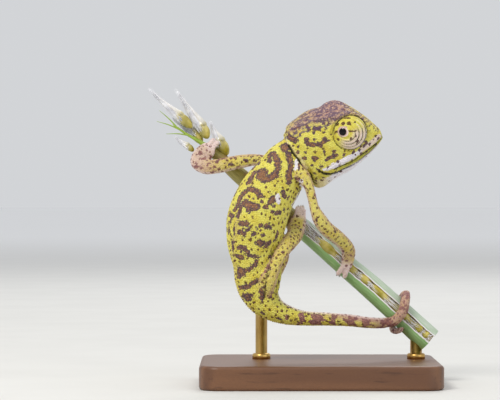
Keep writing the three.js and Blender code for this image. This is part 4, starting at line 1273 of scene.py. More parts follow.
turrets = [turret_shell(side) for side in (-1, 1)]
right_tree, left_tree = (skin_tree(*turret[:2]) for turret in turrets)
right_spots = [(half, seen_on_skin(right_tree, line)) for half, line in TURRET_SPOTS]
left_spots = [(half, snapped(left_tree, mirrored_head(line))) for half, line in right_spots]
spots_on = (right_spots, left_spots)
no_triangles = np.zeros((0, 3), int)
surfaces = [(skin_points, skin_quads), *(turret[:2] for turret in turrets)]
shells = [(points, quads, no_triangles) for points, quads in surfaces]
parts = [skin_fields]
parts += [turret_fields(p, share, turn, spots) for (p, _, share, turn), spots in zip(turrets, spots_on)]
all_points, all_quads, _ = joined(shells)
all_fields = {key: np.concatenate([part[key] for part in parts]) for key in skin_fields}
skin = mesh_object("skin", all_points, [all_quads], skin_material(), "skin", all_fields)
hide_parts(*[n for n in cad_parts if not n.startswith(("perch", "stand", "eyeball"))])

# ---- Scales ----

SCALE_SIDES = 7
# A scale's rings from its sunk foot up: reach and height as shares of its size, and its tip's lean.
SCALE_RINGS = [(0.62, -0.12), (0.5, 0.15)]
SCALE_TIP = (0.23, 0.1)
# The least distance between scales, by place.
TRUNK_GAP, TAIL_GAP, LIMB_GAP, TOE_GAP, TURRET_GAP = 0.19, 0.165, 0.17, 0.15, 0.135
NAPE_GAP, FACE_FINER = 0.162, 0.034
OVERLAP = (1.08, 1.3)  # a scale's size as a share of its gap
UV_PER_MM = 0.0152
UV_PATCH = 0.003


def unwrap(place):
    """Each root's spot on charts of the skin: the length along a part against the way round it."""
    out = np.empty((len(place.points), 2))
    radius = np.interp(place.station, np.arange(len(BODY.sizes)), BODY.sizes[:, [0, 2]].mean(1))
    arc = np.interp(place.station, ARC_STATION, ARC_LENGTH)
    charts = [
        (BODY_PART, 0.015 + arc * UV_PER_MM, 0.2 + place.angle * radius * UV_PER_MM),
        (HEAD_PART, 0.02 + (place.forward + 7.6) * UV_PER_MM, 0.6 + place.angle * 3.3 * UV_PER_MM),
    ]
    for parts, start in ((NEAR_PARTS, 0.26), (FAR_PARTS, 0.64)):
        for number, part in enumerate(parts):
            flesh = FLESH[part - 1]
            pace = np.linalg.norm(np.diff(flesh.at, axis=0), axis=1).mean()
            along = start + np.clip(place.station, -1, flesh.last + 1) * pace * UV_PER_MM
            charts.append((part, along, 0.45 + 0.12 * number + place.angle * 0.8 * UV_PER_MM))
    for part, along, across in charts:
        out[place.on(part)] = np.stack([along, across], -1)[place.on(part)]
    return np.clip(out, 0.004, 0.996)


def domes(name, at, normal, along, size, fields, uv, sides=SCALE_SIDES, rings=SCALE_RINGS, tip=SCALE_TIP):
    """Low closed domes: rings of reach * size round the root, lifted along the normal, then a tip.

    A corner at angle a lies at root + size * (reach * (ahead * cos(a) + across * sin(a)) + normal
    * height), and rings above the foot slide tailwards with their height.
    """
    across = unit(np.cross(normal, along))
    ahead = np.cross(across, normal)
    angle = np.arange(sides) * TAU / sides + rng.uniform(0, TAU / sides, (len(at), 1))
    cos, sin = np.cos(angle)[..., None], np.sin(angle)[..., None]
    size = size[:, None, None]
    uneven = rng.uniform(0.9, 1.1, (len(at), sides, 1))
    round_it = (ahead[:, None] * cos * 1.12 + across[:, None] * sin) * uneven
    flat = np.concatenate([cos, sin], -1)
    points, spots = [], []
    for reach, height in rings:
        lean = max(height, 0) / tip[0] * tip[1]
        offset = round_it * reach + normal[:, None] * height + ahead[:, None] * lean
        points.append(at[:, None] + size * offset)
        spots.append(uv[:, None] + flat * reach * UV_PATCH)
    points.append(at[:, None] + size * (normal[:, None] * tip[0] + ahead[:, None] * tip[1]))
    spots.append(uv[:, None])
    points, spots = np.concatenate(points, 1), np.concatenate(spots, 1)
    each = points.shape[1]
    k, top = np.arange(sides), (len(rings) - 1) * sides
    fan = np.stack([top + k, top + (k + 1) % sides, np.full(sides, each - 1)], -1)
    parts = [(grid_quads(len(rings), sides), 4), (fan, 3), (k[None, ::-1], sides)]
    start = (np.arange(len(at)) * each)[:, None, None]
    faces = [(part + start).reshape(-1, corners) for part, corners in parts]
    # rim marks each scale's foot ring, which the scale material darkens as painted shade
    rim = np.tile(np.arange(each) < sides, len(at))
    spread = {key: np.repeat(values, each) for key, values in fields.items()}
    spread["rim"] = rim
    return mesh_object(name, points.reshape(-1, 3), faces, SCALES, "skin", spread, spots.reshape(-1, 2))


SCALES = scale_material()
place = Places(skin_points)
on_toes = place.on(*FAR_PARTS) & (place.station > 2.5)
for part in NEAR_PARTS:
    on_toes |= place.on(part) & (place.station > FLESH[part - 1].last - 2.4)
spacing = np.select(
    [place.on(HEAD_PART), on_toes, place.on(*NEAR_PARTS, *FAR_PARTS), place.station > TAIL_ROOT],
    [NAPE_GAP - FACE_FINER * step(0.5, 3.0, place.forward), TOE_GAP, LIMB_GAP, TAIL_GAP],
    TRUNK_GAP,
)
turret_off = np.hypot(place.forward, place.up - TURRET_UP) / TURRET_RADIUS
under_turret = (turret_off < 1.0) & (np.abs(place.side) > 0.8) & place.on(HEAD_PART)
open_skin = (skin_crease < 0.55) & ~under_turret
open_quads = skin_quads[open_skin[skin_quads].all(1)]
at, face, gap = spread_points(skin_points, open_quads, spacing)
site_quads = open_quads[face]
normal = unit(normals_of(skin_points, skin_quads)[site_quads].mean(1))
place = Places(at)
fields = pattern.fields(at, skin_crease[site_quads].mean(1))
fields["tone"] = rng.random(len(at))
charts = unwrap(place)
along = place.along()
along = along - normal * (along * normal).sum(1, keepdims=True)
tail = place.on(BODY_PART) & (place.station > TAIL_ROOT)
groups = {
    "scales_trunk": place.on(BODY_PART) & ~tail,
    "scales_tail": tail,
    "scales_head": place.on(HEAD_PART),
    "scales_arms": place.on(*NEAR_PARTS[:2], *FAR_PARTS[:2]),
    "scales_legs": place.on(*NEAR_PARTS[2:], *FAR_PARTS[2:]),
}
for name, on in groups.items():
    size = gap[on] * rng.uniform(*OVERLAP, on.sum())
    picked = {key: values[on] for key, values in fields.items()}
    domes(name, at[on], normal[on], along[on], size, picked, charts[on])

turret_parts = []
for (points, quads, share, turn), spots in zip(turrets, spots_on):
    open_faces = quads[((share > 0.1) & (share < 0.985))[quads].all(1)]
    spot, face, gap = spread_points(points, open_faces, np.full(len(points), TURRET_GAP))
    corner = open_faces[face]
    around = np.arctan2(np.sin(turn)[corner].mean(1), np.cos(turn)[corner].mean(1))
    outward = unit(spot - points[share == 0].mean(0))
    facing = unit(normals_of(points, quads)[corner].mean(1))
    own = turret_fields(spot, share[corner].mean(1), around, spots)
    turret_parts.append((spot, facing, outward, gap, own))
spot, normal, outward, gap = (np.concatenate([p[i] for p in turret_parts]) for i in range(4))
picked = {key: np.concatenate([p[4][key] for p in turret_parts]) for key in skin_fields}
picked["tone"] = rng.random(len(spot))
domes("scales_turrets", spot, normal, outward, gap * 1.05, picked, unwrap(Places(spot)))

# ---- Crests and claws ----

CREST_RINGS = [(0.52, -0.15), (0.42, 0.22), (0.22, 0.55)]
CREST_TIP = (0.8, 0.3)


def along_line(points, spacing):
    """Places at even distances along a line of points."""
    length = lengths_along(points)
    even = np.arange(0, length[-1], spacing)
    return np.stack([np.interp(even, length, points[:, axis]) for axis in range(3)], -1)


def crest_parts():
    """Roots, outward directions, sizes and whiteness of the throat, back and belly crests."""
    tree = skin_tree(skin_points, skin_quads)
    forward = np.linspace(3.5, -6.9, 200)
    under = [tree.ray_cast(Vector(head_point(f, 0, -9)), Vector(CROWN))[0] for f in forward]
    low = [u for u in under if u is not None and -5.7 < head_place(np.array(u))[2] < -1.2]
    throat = along_line(np.array(low), 0.27)
    station = np.linspace(1.2, 12, 700)
    back = snapped(tree, BODY.surface(station, spine_angle(station)))
    belly = snapped(tree, BODY.surface(np.linspace(2.0, 9.5, 600), np.full(600, np.pi)))
    out = []
    for line, spacing, size, white in ((throat, 0.24, 0.27, 1), (back, 0.27, 0.2, 0), (belly, 0.26, 0.22, 1)):
        root = along_line(line, spacing)
        station, angle, _ = BODY.locate(root)
        up = BODY.axes(station)[2]
        away = np.tile(-CROWN, (len(root), 1)) if line is throat else up * np.sign(np.cos(angle))[:, None]
        fade = np.sin(np.pi * np.linspace(0.06, 0.94, len(root))) ** 0.4
        out.append((root, away, size * fade * rng.uniform(0.85, 1.15, len(root)), np.full(len(root), white)))
    return [np.concatenate([p[i] for p in out]) for i in range(4)]


root, away, size, white = crest_parts()
place = Places(root)
picked = pattern.fields(root)
picked["white"] = np.where(white > 0, 0.3, picked["white"])
for mark in ("blotch", "dots", "streak"):
    picked[mark] = np.where(white > 0, -1.0, picked[mark])
picked["tone"] = rng.random(len(root))
along = place.along()
along = unit(along - away * (along * away).sum(1, keepdims=True))
domes("crests", root, away, along, size, picked, unwrap(place), 8, CREST_RINGS, CREST_TIP)


def horn_material():
    """Claws: pale horn with fine darker streaks."""
    made, n, shader = material("horn")
    shade = n.mix(n.rise(n.noise(9000, 2), 0.35, 0.65), colour(214, 206, 196), colour(168, 160, 156))
    n.feed(shader, {"Base Color": shade, "Roughness": 0.3})
    return made


limbs = list(zip(LIMBS, NEAR_FLESH, FAR_FLESH))
points, quads, triangles = joined([claw for limb in limbs for claw in toes_of(*limb, claw_shell)])
mesh_object("claws", points, [quads, triangles], horn_material(), "skin")

# ---- Eyeballs ----

PUPIL_RADIUS, IRIS_RADIUS = 0.44, 0.48


def eyeball_shell(side, rings=48, sides=72):
    """A sphere about the gaze: rings at even angles from it, with a cornea that swells a little."""
    turn = np.arange(sides) * TAU / sides
    lids = turret_surface(side, np.zeros(sides), turn)
    centre = lids.mean(0)
    gaze = unit(np.cross(lids[0] - centre, lids[sides // 4] - centre))
    gaze = gaze * np.sign(gaze @ LEFT * side)
    across = unit(lids[0] - centre)
    above = np.cross(gaze, across)
    middle = centre - gaze * 0.96
    polar, turn = np.meshgrid(np.linspace(0.004, np.pi - 0.004, rings), turn, indexing="ij")
    reach = EYEBALL_RADIUS * (1 + 0.035 * bell(polar, 0.5))
    ring = np.cos(turn)[..., None] * across + np.sin(turn)[..., None] * above
    rings_at = middle + reach[..., None] * (np.cos(polar)[..., None] * gaze + np.sin(polar)[..., None] * ring)
    points, quads, triangles = shell_of(rings_at)
    off = np.concatenate([(polar * EYEBALL_RADIUS).ravel(), [0, np.pi * EYEBALL_RADIUS]])
    return (points, quads, triangles), off


def eye_material():
    """A wet eyeball: black pupil, a thin gold-brown iris with radial flecks, pale flesh beyond."""
    made, n, shader = material("eye")
    off = n.field("off_pupil")
    iris = n.mix(n.rise(n.noise(9000, 2), 0.4, 0.6), colour(88, 58, 30), colour(40, 26, 18))
    shade = n.mix(n.rise(off, PUPIL_RADIUS - 0.015, PUPIL_RADIUS + 0.015), colour(9, 8, 9), iris)
    shade = n.mix(n.rise(off, IRIS_RADIUS - 0.02, IRIS_RADIUS + 0.03), shade, colour(196, 168, 158))
    n.feed(shader, {"Base Color": shade, "Roughness": 0.06, "Specular IOR Level": 0.22})
    return made


balls = [eyeball_shell(side) for side in (-1, 1)]
points, quads, triangles = joined([ball for ball, _ in balls])
off_pupil = np.concatenate([off for _, off in balls])
eyes = mesh_object("eyeballs", points, [quads, triangles], eye_material(), "eye", {"off_pupil": off_pupil})
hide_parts("eyeball_right", "eyeball_left")

# ---- The grass stem and its seed head ----

STEM = Flesh(np.hstack([STEM_AXIS, np.repeat(STEM_RADII[:, None], 3, 1), np.tile(TO_VIEWER, (8, 1))]))
SHEATH_MOUTH = 4.1
SLIT = np.radians([-10, 28])  # from the viewer's side towards the stem's upper edge
# Grains in the slit: first station and length.
GRAINS = [(0.22, 0.46), (0.74, 0.4), (1.18, 0.44), (1.66, 0.46), (2.18, 0.44), (2.72, 0.46), (3.26, 0.5)]
# Spikelets: base, body tip and silk tip as (x, z), radius, how far in front of the stem's plane.
SPIKELETS = [
    ((-11.6, 28.9), (-12.9, 31.2), (-13.7, 33.2), 0.76, 0.2),
    ((-14.1, 31.0), (-15.1, 33.1), (-18.1, 37.3), 0.7, 0.3),
    ((-14.9, 30.4), (-16.1, 32.3), (-18.7, 33.9), 0.64, -0.9),
    ((-16.1, 32.4), (-18.2, 34.3), (-21.6, 37.4), 0.66, 0.5),
    ((-15.9, 29.4), (-16.9, 30.3), (-18.3, 31.3), 0.4, 0.6),
]
RACHIS = [(-13.95, 29.8, 0.45), (-15.4, 30.75, 0.23), (-17.0, 31.7, 0.16), (-18.6, 32.85, 0.11)]
# Side twigs: from and to, as x and z, and how far in front of the stem's plane they end.
TWIGS = [
    (-17.6, 32.1, -20.6, 33.2, 0.1), (-17.9, 32.3, -20.3, 34.6, -0.3), (-16.4, 31.4, -19.4, 31.6, 0.3),
]


def sheath_shell(rings=260, sides=110):
    """The rolled leaf sheath: an outer wall that turns in at the slit's two edges, and its lining.

    At station t and share s of the way round, the radius is the stem's own, with low veins
    sin(60 s) and a wall that thins to a membrane at the edges; the mouth's end is frayed.
    """
    share, level = np.meshgrid(np.linspace(0, 1, sides), np.linspace(0, 1, rings))
    fray = 0.1 * np.sin(share * 23) + 0.07 * np.sin(share * 61 + 1) + 0.05 * np.sin(share * 131)
    station = level * (SHEATH_MOUTH + fray * level**12)
    open_mouth = step(3.3, 4.2, station)
    low = SLIT[1] + 0.03 * np.sin(station * 5 + 1) + 0.012 * np.sin(station * 17) + 0.3 * open_mouth
    high = SLIT[0] + TAU + 0.02 * np.sin(station * 4) + 0.01 * np.sin(station * 23) - 0.1 * open_mouth
    angle = low + (high - low) * share
    edge = np.minimum(share, 1 - share) * (high - low) * 1.5
    veins = 0.014 * np.sin(angle * 34) + 0.006 * np.sin(angle * 90)
    flare = 0.22 * bell(share, 0.06) * step(0.1, 0.6, np.sin(station * 2.1) + 0.5)
    flare += 0.1 * bell(1 - share, 0.03)
    radius = STEM.axes(station)[4][..., :1] - 0.03
    centre = STEM.axes(station)[0]
    outer = STEM.surface(station, angle)
    out = unit(outer - centre)
    outer = centre + out * (radius + (veins * step(0, 0.3, edge) - flare * 0.4)[..., None])
    wall = (0.05 + 0.22 * step(0.1, 0.9, edge))[..., None]
    inner = centre + out * (radius - flare[..., None] * 0.4 - wall)
    points = np.concatenate([outer, inner[:, ::-1]], 1)
    around = 2 * sides
    k = np.arange(sides - 1)
    caps = []
    for start, turned in ((0, True), ((rings - 1) * around, False)):
        cap = np.stack([k, k + 1, around - 2 - k, around - 1 - k], -1) + start
        caps.append(cap[:, ::-1] if turned else cap)
    inside = np.concatenate([np.zeros_like(edge), np.ones_like(edge)], 1)
    edge = np.concatenate([edge, edge[:, ::-1]], 1)
    angle = np.concatenate([angle, angle[:, ::-1]], 1)
    quads = np.concatenate([grid_quads(rings, around), *caps])
    fields = {"round": angle.ravel(), "edge": edge.ravel(), "inside": inside.ravel()}
    return points.reshape(-1, 3), quads, fields


def strands(start, middle, end, radius, segments=7):
    """Fine hairs, three-sided, along the parabola from start by middle to end, narrowing to a point."""
    w = np.linspace(0, 1, segments + 1)[None, :, None]
    path = (1 - w) ** 2 * start[:, None] + 2 * w * (1 - w) * middle[:, None] + w**2 * end[:, None]
    along = unit(np.gradient(path, axis=1))
    side = unit(np.cross(along, unit(np.array([0.3, -0.8, 0.52]))))
    other = np.cross(along, side)
    turn = np.arange(3) * TAU / 3
    ring = side[:, :, None] * np.cos(turn)[:, None] + other[:, :, None] * np.sin(turn)[:, None]
    width = radius[:, None, None, None] * (1 - w[..., None]) ** 0.6 + 0.003
    points = path[:, :, None] + ring * width
    count, each = len(points), 3 * points.shape[1]
    caps = np.array([[2, 1, 0], [each - 3, each - 2, each - 1]])
    start = (np.arange(count) * each)[:, None, None]
    quads = (grid_quads(segments + 1, 3) + start).reshape(-1, 4)
    return points.reshape(-1, 3), quads, (caps + start).reshape(-1, 3)


def stem_material(name, dry=False, young=False):
    """Grass: lengthwise veins of paler and deeper green, an upper side paler partly in its own colour and
    partly as painted sheen, papery white edges, an olive lining.
    """
    made, n, shader = material(name)
    split = n.add("SeparateXYZ", {0: n.place()})
    length = n.times(n.minus(split.outputs["X"], split.outputs["Z"]), 160.0)
    lines = n.add("CombineXYZ", {0: n.times(n.field("round"), 7.0), 1: length})
    vein = n.noise(1.6, 4.0, lines.outputs[0], 0.6)
    fine = n.times(n.math("SINE", n.times(n.field("round"), 68.0)), 0.5)
    tone = n.rise(n.plus(vein, n.times(fine, 0.16)), 0.3, 0.72)
    if dry:
        shade = n.mix(tone, colour(128, 118, 44), colour(178, 168, 92))
        shade = n.mix(n.rise(n.noise(500, 2), 0.45, 0.65), shade, colour(142, 116, 70))
    elif young:
        shade = n.mix(tone, colour(126, 158, 44), colour(174, 196, 84))
    else:
        green = n.mix(tone, colour(128, 172, 104), colour(158, 194, 134))
        # the upper side paler and greyer: partly the sheath's own colour, partly painted sheen
        upper = n.rise(n.math("COSINE", n.minus(n.field("round"), 0.95)), 0.35, 0.9)
        shade = n.mix(upper, green, n.mix(tone, colour(160, 182, 150), colour(196, 206, 190)))
        papery = n.minus(n.field("edge"), n.times(n.noise(1500, 3), 0.12))
        shade = n.mix(n.rise(papery, 0.13, 0.02), shade, colour(236, 230, 232))
        shade = n.mix(n.field("inside"), shade, n.mix(tone, colour(176, 164, 108), colour(222, 216, 184)))
    n.feed(shader, {"Base Color": shade, "Normal": n.bump(vein, 0.4, 0.00008), "Roughness": 0.42})
    return made


def husk_material():
    """Husks: olive gold with a gloss and painted shade down one side; the glumes fade to papery white."""
    made, n, shader = material("husk")
    gold = n.mix(n.rise(n.noise(700, 3), 0.38, 0.62), colour(158, 144, 26), colour(206, 190, 96))
    # painted shade: each husk darker down one side
    gold = n.mix(n.times(n.rise(n.field("round"), 0.3, -0.6), 0.5), gold, colour(122, 118, 36))
    lines = n.plus(n.times(n.math("SINE", n.times(n.field("round"), 26.0)), 0.5), n.noise(2600, 2))
    papery = n.mix(n.rise(lines, 0.3, 0.9), colour(216, 212, 206), colour(244, 242, 246))
    shade, rough = n.mix(n.field("papery"), gold, papery), n.rise(n.field("papery"), 0.0, 1.0, 0.5)
    n.feed(shader, {"Base Color": shade, "Roughness": rough, "Coat Weight": 0.25})
    return made


def silk_material():
    """White silky hairs, a little shaded along their length, with a soft sheen."""
    made, n, shader = material("silk")
    shade = n.mix(n.rise(n.noise(900, 2), 0.4, 0.65), colour(232, 232, 238), colour(252, 252, 255))
    n.feed(shader, {"Base Color": shade, "Roughness": 0.35, "Sheen Weight": 0.3})
    return made


def husk_shell(at, radius, papery, ups=None, flat=1.0, tip=0.0, sides=40):
    """A pointed body along rows of places, with its fields; flat squashes it across its back."""
    at, radius = np.array(at, float), np.array(radius, float)
    ups = np.tile(TO_VIEWER, (len(at), 1)) if ups is None else np.tile(ups, (len(at), 1))
    sizes = np.stack([radius * flat, radius * flat, radius], -1)
    points, quads, triangles = Flesh(np.hstack([at, sizes, ups])).shell(10, sides, tip)
    rings = (len(points) - 2) // sides
    turn = np.concatenate([np.tile(np.arange(sides) * TAU / sides, rings), [0, 0]])
    level = np.concatenate([np.repeat(np.linspace(0, 1, rings), sides), [0, 1]])
    shade = np.interp(level, np.linspace(0, 1, len(papery)), papery)
    return (points, quads, triangles), {"round": np.sin(turn), "papery": shade}


def in_stem_plane(x, z, front=0.0):
    return np.array([x, PERCH_Y - front, z])


def in_stem(station, turn, share):
    """Places a share of the way from the stem's axis to its surface."""
    centre = spline(STEM.at, station)
    return centre + (STEM.surface(station, turn) - centre) * share


def husk_object(name, husks, material, slot):
    """Several husks with their fields as one piece."""
    points, quads, triangles = joined([shell for shell, _ in husks])
    fields = {key: np.concatenate([own[key] for _, own in husks]) for key in husks[0][1]}
    return mesh_object(name, points, [quads, triangles], material, slot, fields)


points, quads, fields = sheath_shell()
sheath = mesh_object("sheath", points, [quads], stem_material("sheath"), "stem", fields)
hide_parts("perch_sheath")

culm_t = np.linspace(-0.02, STEM.last - 0.02, 150)
inner = np.interp(culm_t, [0, SHEATH_MOUTH - 0.25, SHEATH_MOUTH + 0.15, STEM.last], [0.68, 0.68, 1.0, 1.0])
t, turn = np.meshgrid(culm_t, np.arange(72) * TAU / 72, indexing="ij")
ribs = 1 + 0.012 * np.sin(turn * 18) + 0.02 * bell(t - 5.35, 0.05)
points, quads, triangles = shell_of(in_stem(t, turn, (inner[:, None] * ribs * 0.985)[..., None]))
fields = {"round": np.append(turn.ravel(), [0, 0])}
culm = mesh_object("culm", points, [quads, triangles], stem_material("culm", dry=True), "stem", fields)
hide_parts("perch_culm")

rachis_rows = [in_stem_plane(x, z) for x, z, _ in RACHIS]
twigs = [husk_shell(rachis_rows, [r for _, _, r in RACHIS], [0, 0], tip=0.4, sides=24)]
for from_x, from_z, to_x, to_z, front in TWIGS:
    a, b = in_stem_plane(from_x, from_z), in_stem_plane(to_x, to_z, front)
    bend = in_stem_plane((from_x + to_x) / 2, (from_z + to_z) / 2 + 0.12, front)
    twigs.append(husk_shell([a, bend, b], [0.1, 0.07, 0.025], [0, 0], sides=16))
for _, own in twigs:
    own["round"] += 3  # a stretch of the veins' noise that suits so thin a stalk
rachis = husk_object("rachis", twigs, stem_material("rachis", young=True), "stem")
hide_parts("perch_rachis")

grain_shells = []
for first, length in GRAINS:
    share = np.array([0, 0.1, 0.28, 0.5, 0.72, 0.9, 1.0])
    bulk = 0.72 * (0.45 + 0.55 * np.sin(np.pi * share))
    at = spline(STEM.at, first - 0.04 + (length + 0.08) * share)
    at = at + TO_VIEWER * 0.72 + STEM_UPPER * (0.14 + 0.05 * np.sin(first * 9))
    grain_shells.append(husk_shell(at, bulk, [0.7, 0.1, 0, 0, 0.2, 0.8], tip=0.3))
HUSK = husk_material()
grains = husk_object("grains", grain_shells, HUSK, "grain")
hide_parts(*[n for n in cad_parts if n.startswith("perch_grain")])

husks, hair = [], []
for base, body, silk, radius, front in SPIKELETS:
    root, tip = in_stem_plane(*base, front * 0.6), in_stem_plane(*body, front)
    end = in_stem_plane(*silk, front)
    at = [root * (1 - s) + tip * s for s in (0, 0.05, 0.2, 0.5, 1.0)]
    at += [tip * (1 - s) + end * s for s in (0.4, 0.9)]
    bulk = np.array([0.12, 0.42, 0.78, 1.0, 0.62, 0.28, 0.04]) * radius
    husks.append(husk_shell(at, bulk, [0, 0, 0, 0.1, 0.7, 1, 1], tip=0.5))
    axis = unit(end - root)
    outward = unit(np.cross(TO_VIEWER, axis))
    for lean, width, reach, first in ((0.7, 0.6, 0.9, 0.42), (-0.8, 0.6, 0.75, 0.5), (0.0, 0.5, 0.8, 0.62)):
        away = unit(outward * lean + TO_VIEWER * 0.6)
        spine = [root * (1 - s) + tip * s for s in (first, (first + 1) / 2, 1.0)]
        spine += [tip * (1 - s) + end * s for s in (0.4 * reach, reach)]
        off = np.array([0.6, 0.86, 0.62, 0.3, 0.05]) * radius
        spine = [p + away * o for p, o in zip(spine, off)]
        bulk = np.array([0.02, width * 0.8, width * 0.85, 0.3, 0.02]) * radius
        husks.append(husk_shell(spine, bulk, [0, 0.25, 0.8, 1, 1], away, 0.15, 0.8, sides=28))
    count = int(300 * radius)
    share, turn = rng.uniform(0.45, 1.0, (count, 1)), rng.uniform(-1.9, 1.5, (count, 1))
    round_it = outward * np.cos(turn) + TO_VIEWER * np.sin(turn)
    reach = radius * np.interp(share, [0, 0.55, 1], [0.5, 1.02, 0.6])
    start = root + (tip - root) * share + round_it * reach
    goal = tip + (end - tip) * rng.uniform(0.35, 1.04, (count, 1))
    finish = goal + round_it * radius * rng.uniform(0.02, 0.3, (count, 1)) + rng.normal(0, 0.06, (count, 3))
    middle = (start + finish) / 2 + round_it * radius * 0.35
    hair.append((start, middle, finish, rng.uniform(0.025, 0.045, count)))
spikelets = husk_object("spikelets", husks, HUSK, "grain")
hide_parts(*[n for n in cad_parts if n.startswith("perch_spikelet")])

# silk at the grains' lower ends, and the tuft at the sheath's mouth
for first, length in GRAINS:
    count = 16
    turn = rng.uniform(SLIT[0] + 0.02, SLIT[1] - 0.1, count)
    station = first + rng.uniform(-0.06, 0.14, count)
    start = in_stem(station, turn, rng.uniform(0.8, 0.92, (count, 1)))
    run = station - rng.uniform(0.08, 0.3, count)
    finish = in_stem(run, turn + rng.normal(0, 0.13, count), 0.93)
    middle = (start + finish) / 2 + TO_VIEWER * 0.06 + rng.normal(0, 0.05, (count, 3))
    hair.append((start, middle, finish, rng.uniform(0.018, 0.034, count)))
count = 110
turn = rng.uniform(SLIT[0] - 0.1, SLIT[1] + 0.5, count)
station = rng.uniform(3.55, 4.05, count)
start = in_stem(station, turn, rng.uniform(0.8, 0.95, (count, 1)))
lift = rng.uniform(0.4, 1.5, (count, 1))
finish = start - STEM_RUN * lift + STEM_UPPER * lift * rng.uniform(-0.05, 0.3, (count, 1))
finish += rng.normal(0, 0.09, (count, 3))
middle = (start + finish) / 2 - STEM_RUN * 0.1 + rng.normal(0, 0.07, (count, 3))
hair.append((start, middle, finish, rng.uniform(0.02, 0.042, count)))
points, quads, triangles = joined([strands(*h) for h in hair])
mesh_object("silk", points, [quads, triangles], silk_material(), "grain")

# ---- The display stand ----

BASE = np.array([30.0, 22.0, 3.0])
BASE_CORNER, BASE_BEVEL = 2.5, 0.45
ROD_RADIUS = 0.75
ROD_STATIONS = (5, 1.03)


def base_shell(sides=200):
    """The base: a rounded rectangle drawn in and lifted through a profile with rounded edges."""
    turn = np.arange(sides) * TAU / sides + 0.001
    half = BASE[:2] / 2 - BASE_CORNER
    cos, sin = np.cos(turn), np.sin(turn)
    corner = np.stack([np.sign(cos) * half[0], np.sign(sin) * half[1]], -1)
    arc = np.stack([cos, sin], -1)
    bend = np.linspace(0, np.pi / 2, 7)
    short, tall = BASE_BEVEL * (1 - np.sin(bend)), BASE_BEVEL * (1 - np.cos(bend))
    inset = np.concatenate([[9.0], short, tall, [3.0, 9.0]])
    height = np.concatenate([[0.0], tall, BASE[2] - short, [BASE[2]] * 2])
    rings = []
    for drawn, z in zip(inset, height):
        reach = max(BASE_CORNER - drawn, 0)
        kept = np.clip(1 - (drawn - BASE_CORNER + reach) / 9, 0.02, 1)
        flat = corner * kept + arc * reach
        rings.append(np.column_stack([flat, np.full(sides, z)]))
    return shell_of(np.array(rings))


def rod_shell(station, sides=64):
    """A round rod from the base to inside the stem, with a low collar at its foot."""
    top = spline(STEM.at, np.array([float(station)]))[0]
    height = [BASE[2], BASE[2] + 0.55, BASE[2] + 0.7, BASE[2] + 0.72, top[2] - 0.4]
    radius = [ROD_RADIUS + 0.4, ROD_RADIUS + 0.4, ROD_RADIUS + 0.25, ROD_RADIUS, ROD_RADIUS]
    turn = np.arange(sides) * TAU / sides
    ring = np.stack([np.cos(turn), np.sin(turn), 0 * turn], -1)
    middle = np.array([top[0], PERCH_Y, 0])
    return shell_of(np.array([middle + ring * r + [0, 0, z] for r, z in zip(radius, height)]))


def wood_material():
    """Oiled walnut: rings stretched along the board and bent by noise, with short dark pores."""
    made, n, shader = material("walnut")
    along = n.add("Mapping", {"Vector": n.place(), "Scale": (40.0, 420.0, 420.0)}).outputs[0]
    waves = {"Vector": along, "Scale": 0.55, "Distortion": 9.0, "Detail": 4.0, "Detail Scale": 0.5}
    ring = n.add("TexWave", waves, bands_direction="Y").outputs["Fac"]
    grain = n.noise(5.0, 4.0, along, 0.5)
    shade = n.mix(n.rise(ring, 0.0, 1.0), colour(106, 70, 46), colour(126, 86, 57))
    shade = n.mix(n.rise(n.noise(90, 3, along), 0.3, 0.7, 0.5), shade, colour(92, 58, 38))
    shade = n.mix(n.times(n.rise(grain, 0.58, 0.72), 0.55), shade, colour(62, 38, 26))
    n.feed(shader, {"Base Color": shade, "Normal": n.bump(grain, 0.15, 0.0001), "Roughness": 0.38})
    return made


def brass_material():
    """Brushed brass: fine rings of roughness round the rod and a faint tarnish."""
    made, n, shader = material("brass")
    up = n.add("Mapping", {"Vector": n.place(), "Scale": (200.0, 200.0, 9000.0)}).outputs[0]
    brush = n.add("MapRange", {0: n.noise(1.0, 3.0, up, 0.5), 3: 0.22, 4: 0.42}).outputs[0]
    shade = n.mix(n.rise(n.noise(300, 3), 0.4, 0.7), colour(214, 178, 104), colour(190, 150, 84))
    n.feed(shader, {"Base Color": shade, "Roughness": brush, "Metallic": 1.0})
    return made


points, quads, triangles = base_shell()
base = mesh_object("base_board", points, [quads, triangles], wood_material(), "base", smooth=False)
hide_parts("stand_base")
points, quads, triangles = joined([rod_shell(station) for station in ROD_STATIONS])
rods = mesh_object("rods", points, [quads, triangles], brass_material(), "rod")
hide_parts("stand_rod_1", "stand_rod_2")

# ---- Stage, lights and camera ----


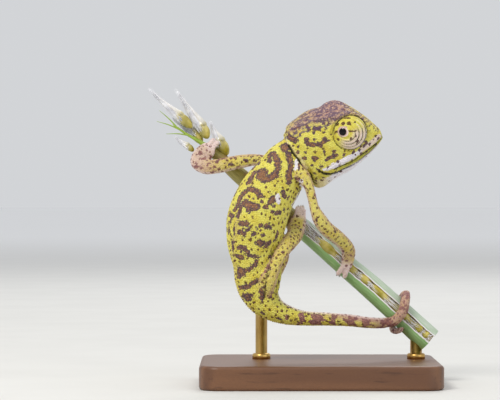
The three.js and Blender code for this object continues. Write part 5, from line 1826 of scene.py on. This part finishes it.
LIGHTS_AIM = (-0.005, -0.003, 0.02)


def emitter(name, at, size, watts, colour):
    light = bpy.data.lights.new(name, "AREA")
    light.shape = "DISK"
    light.size = size
    light.energy = watts
    light.color = colour
    lamp = bpy.data.objects.new(name, light)
    bpy.context.scene.collection.objects.link(lamp)
    lamp.location = at
    lamp.rotation_euler = (Vector(LIGHTS_AIM) - Vector(at)).to_track_quat("-Z", "Y").to_euler()


camera_data = bpy.data.cameras.new("camera")
camera_data.lens = 160
camera_data.sensor_width = 36
camera_data.clip_start = 0.01
camera = bpy.data.objects.new("camera", camera_data)
camera.location = Vector(VIEWPOINT * MM)
camera.rotation_euler = (np.pi / 2, 0, 0)
bpy.context.scene.collection.objects.link(camera)
bpy.context.scene.camera = camera

FLOOR_SIZE = 6000


def floor_material():
    """Pale matt paper with a faint fibre mottle; painted light makes it lighter far off, where only the sky
    lights it.
    """
    made, n, shader = material("floor")
    far = n.add("VectorMath", {0: n.place()}, operation="LENGTH").outputs["Value"]
    near = n.mix(n.rise(n.noise(60, 2), 0.3, 0.7), colour(219, 218, 214), colour(222, 221, 217))
    # painted light: the paper lighter far off, where the lamps' light falls away
    shade = n.mix(n.rise(far, 0.15, 1.2), near, colour(253, 253, 253))
    n.feed(shader, {"Base Color": shade, "Roughness": 0.9, "Specular IOR Level": 0.1})
    return made


floor_points = np.array([[-1, -1, 0], [1, -1, 0], [1, 1, 0], [-1, 1, 0]]) * FLOOR_SIZE
floor = mesh_object("floor", floor_points, [np.array([[0, 1, 2, 3]])], floor_material())

emitter("key", (-0.16, -0.22, 0.3), 0.14, 0.85, (1, 0.97, 0.92))
emitter("fill", (0.3, -0.25, 0.12), 0.3, 0.2, (0.9, 0.95, 1))
emitter("rim", (0.05, 0.3, 0.3), 0.2, 0.4, (1, 1, 1))
world = bpy.data.worlds.new("studio")
world.use_nodes = True
sky = world.node_tree.nodes["Background"]
Nodes(world.node_tree).feed(sky, {"Color": (0.95, 0.97, 1.0, 1), "Strength": 0.68})
bpy.context.scene.world = world
bpy.context.scene.view_settings.view_transform = "Standard"
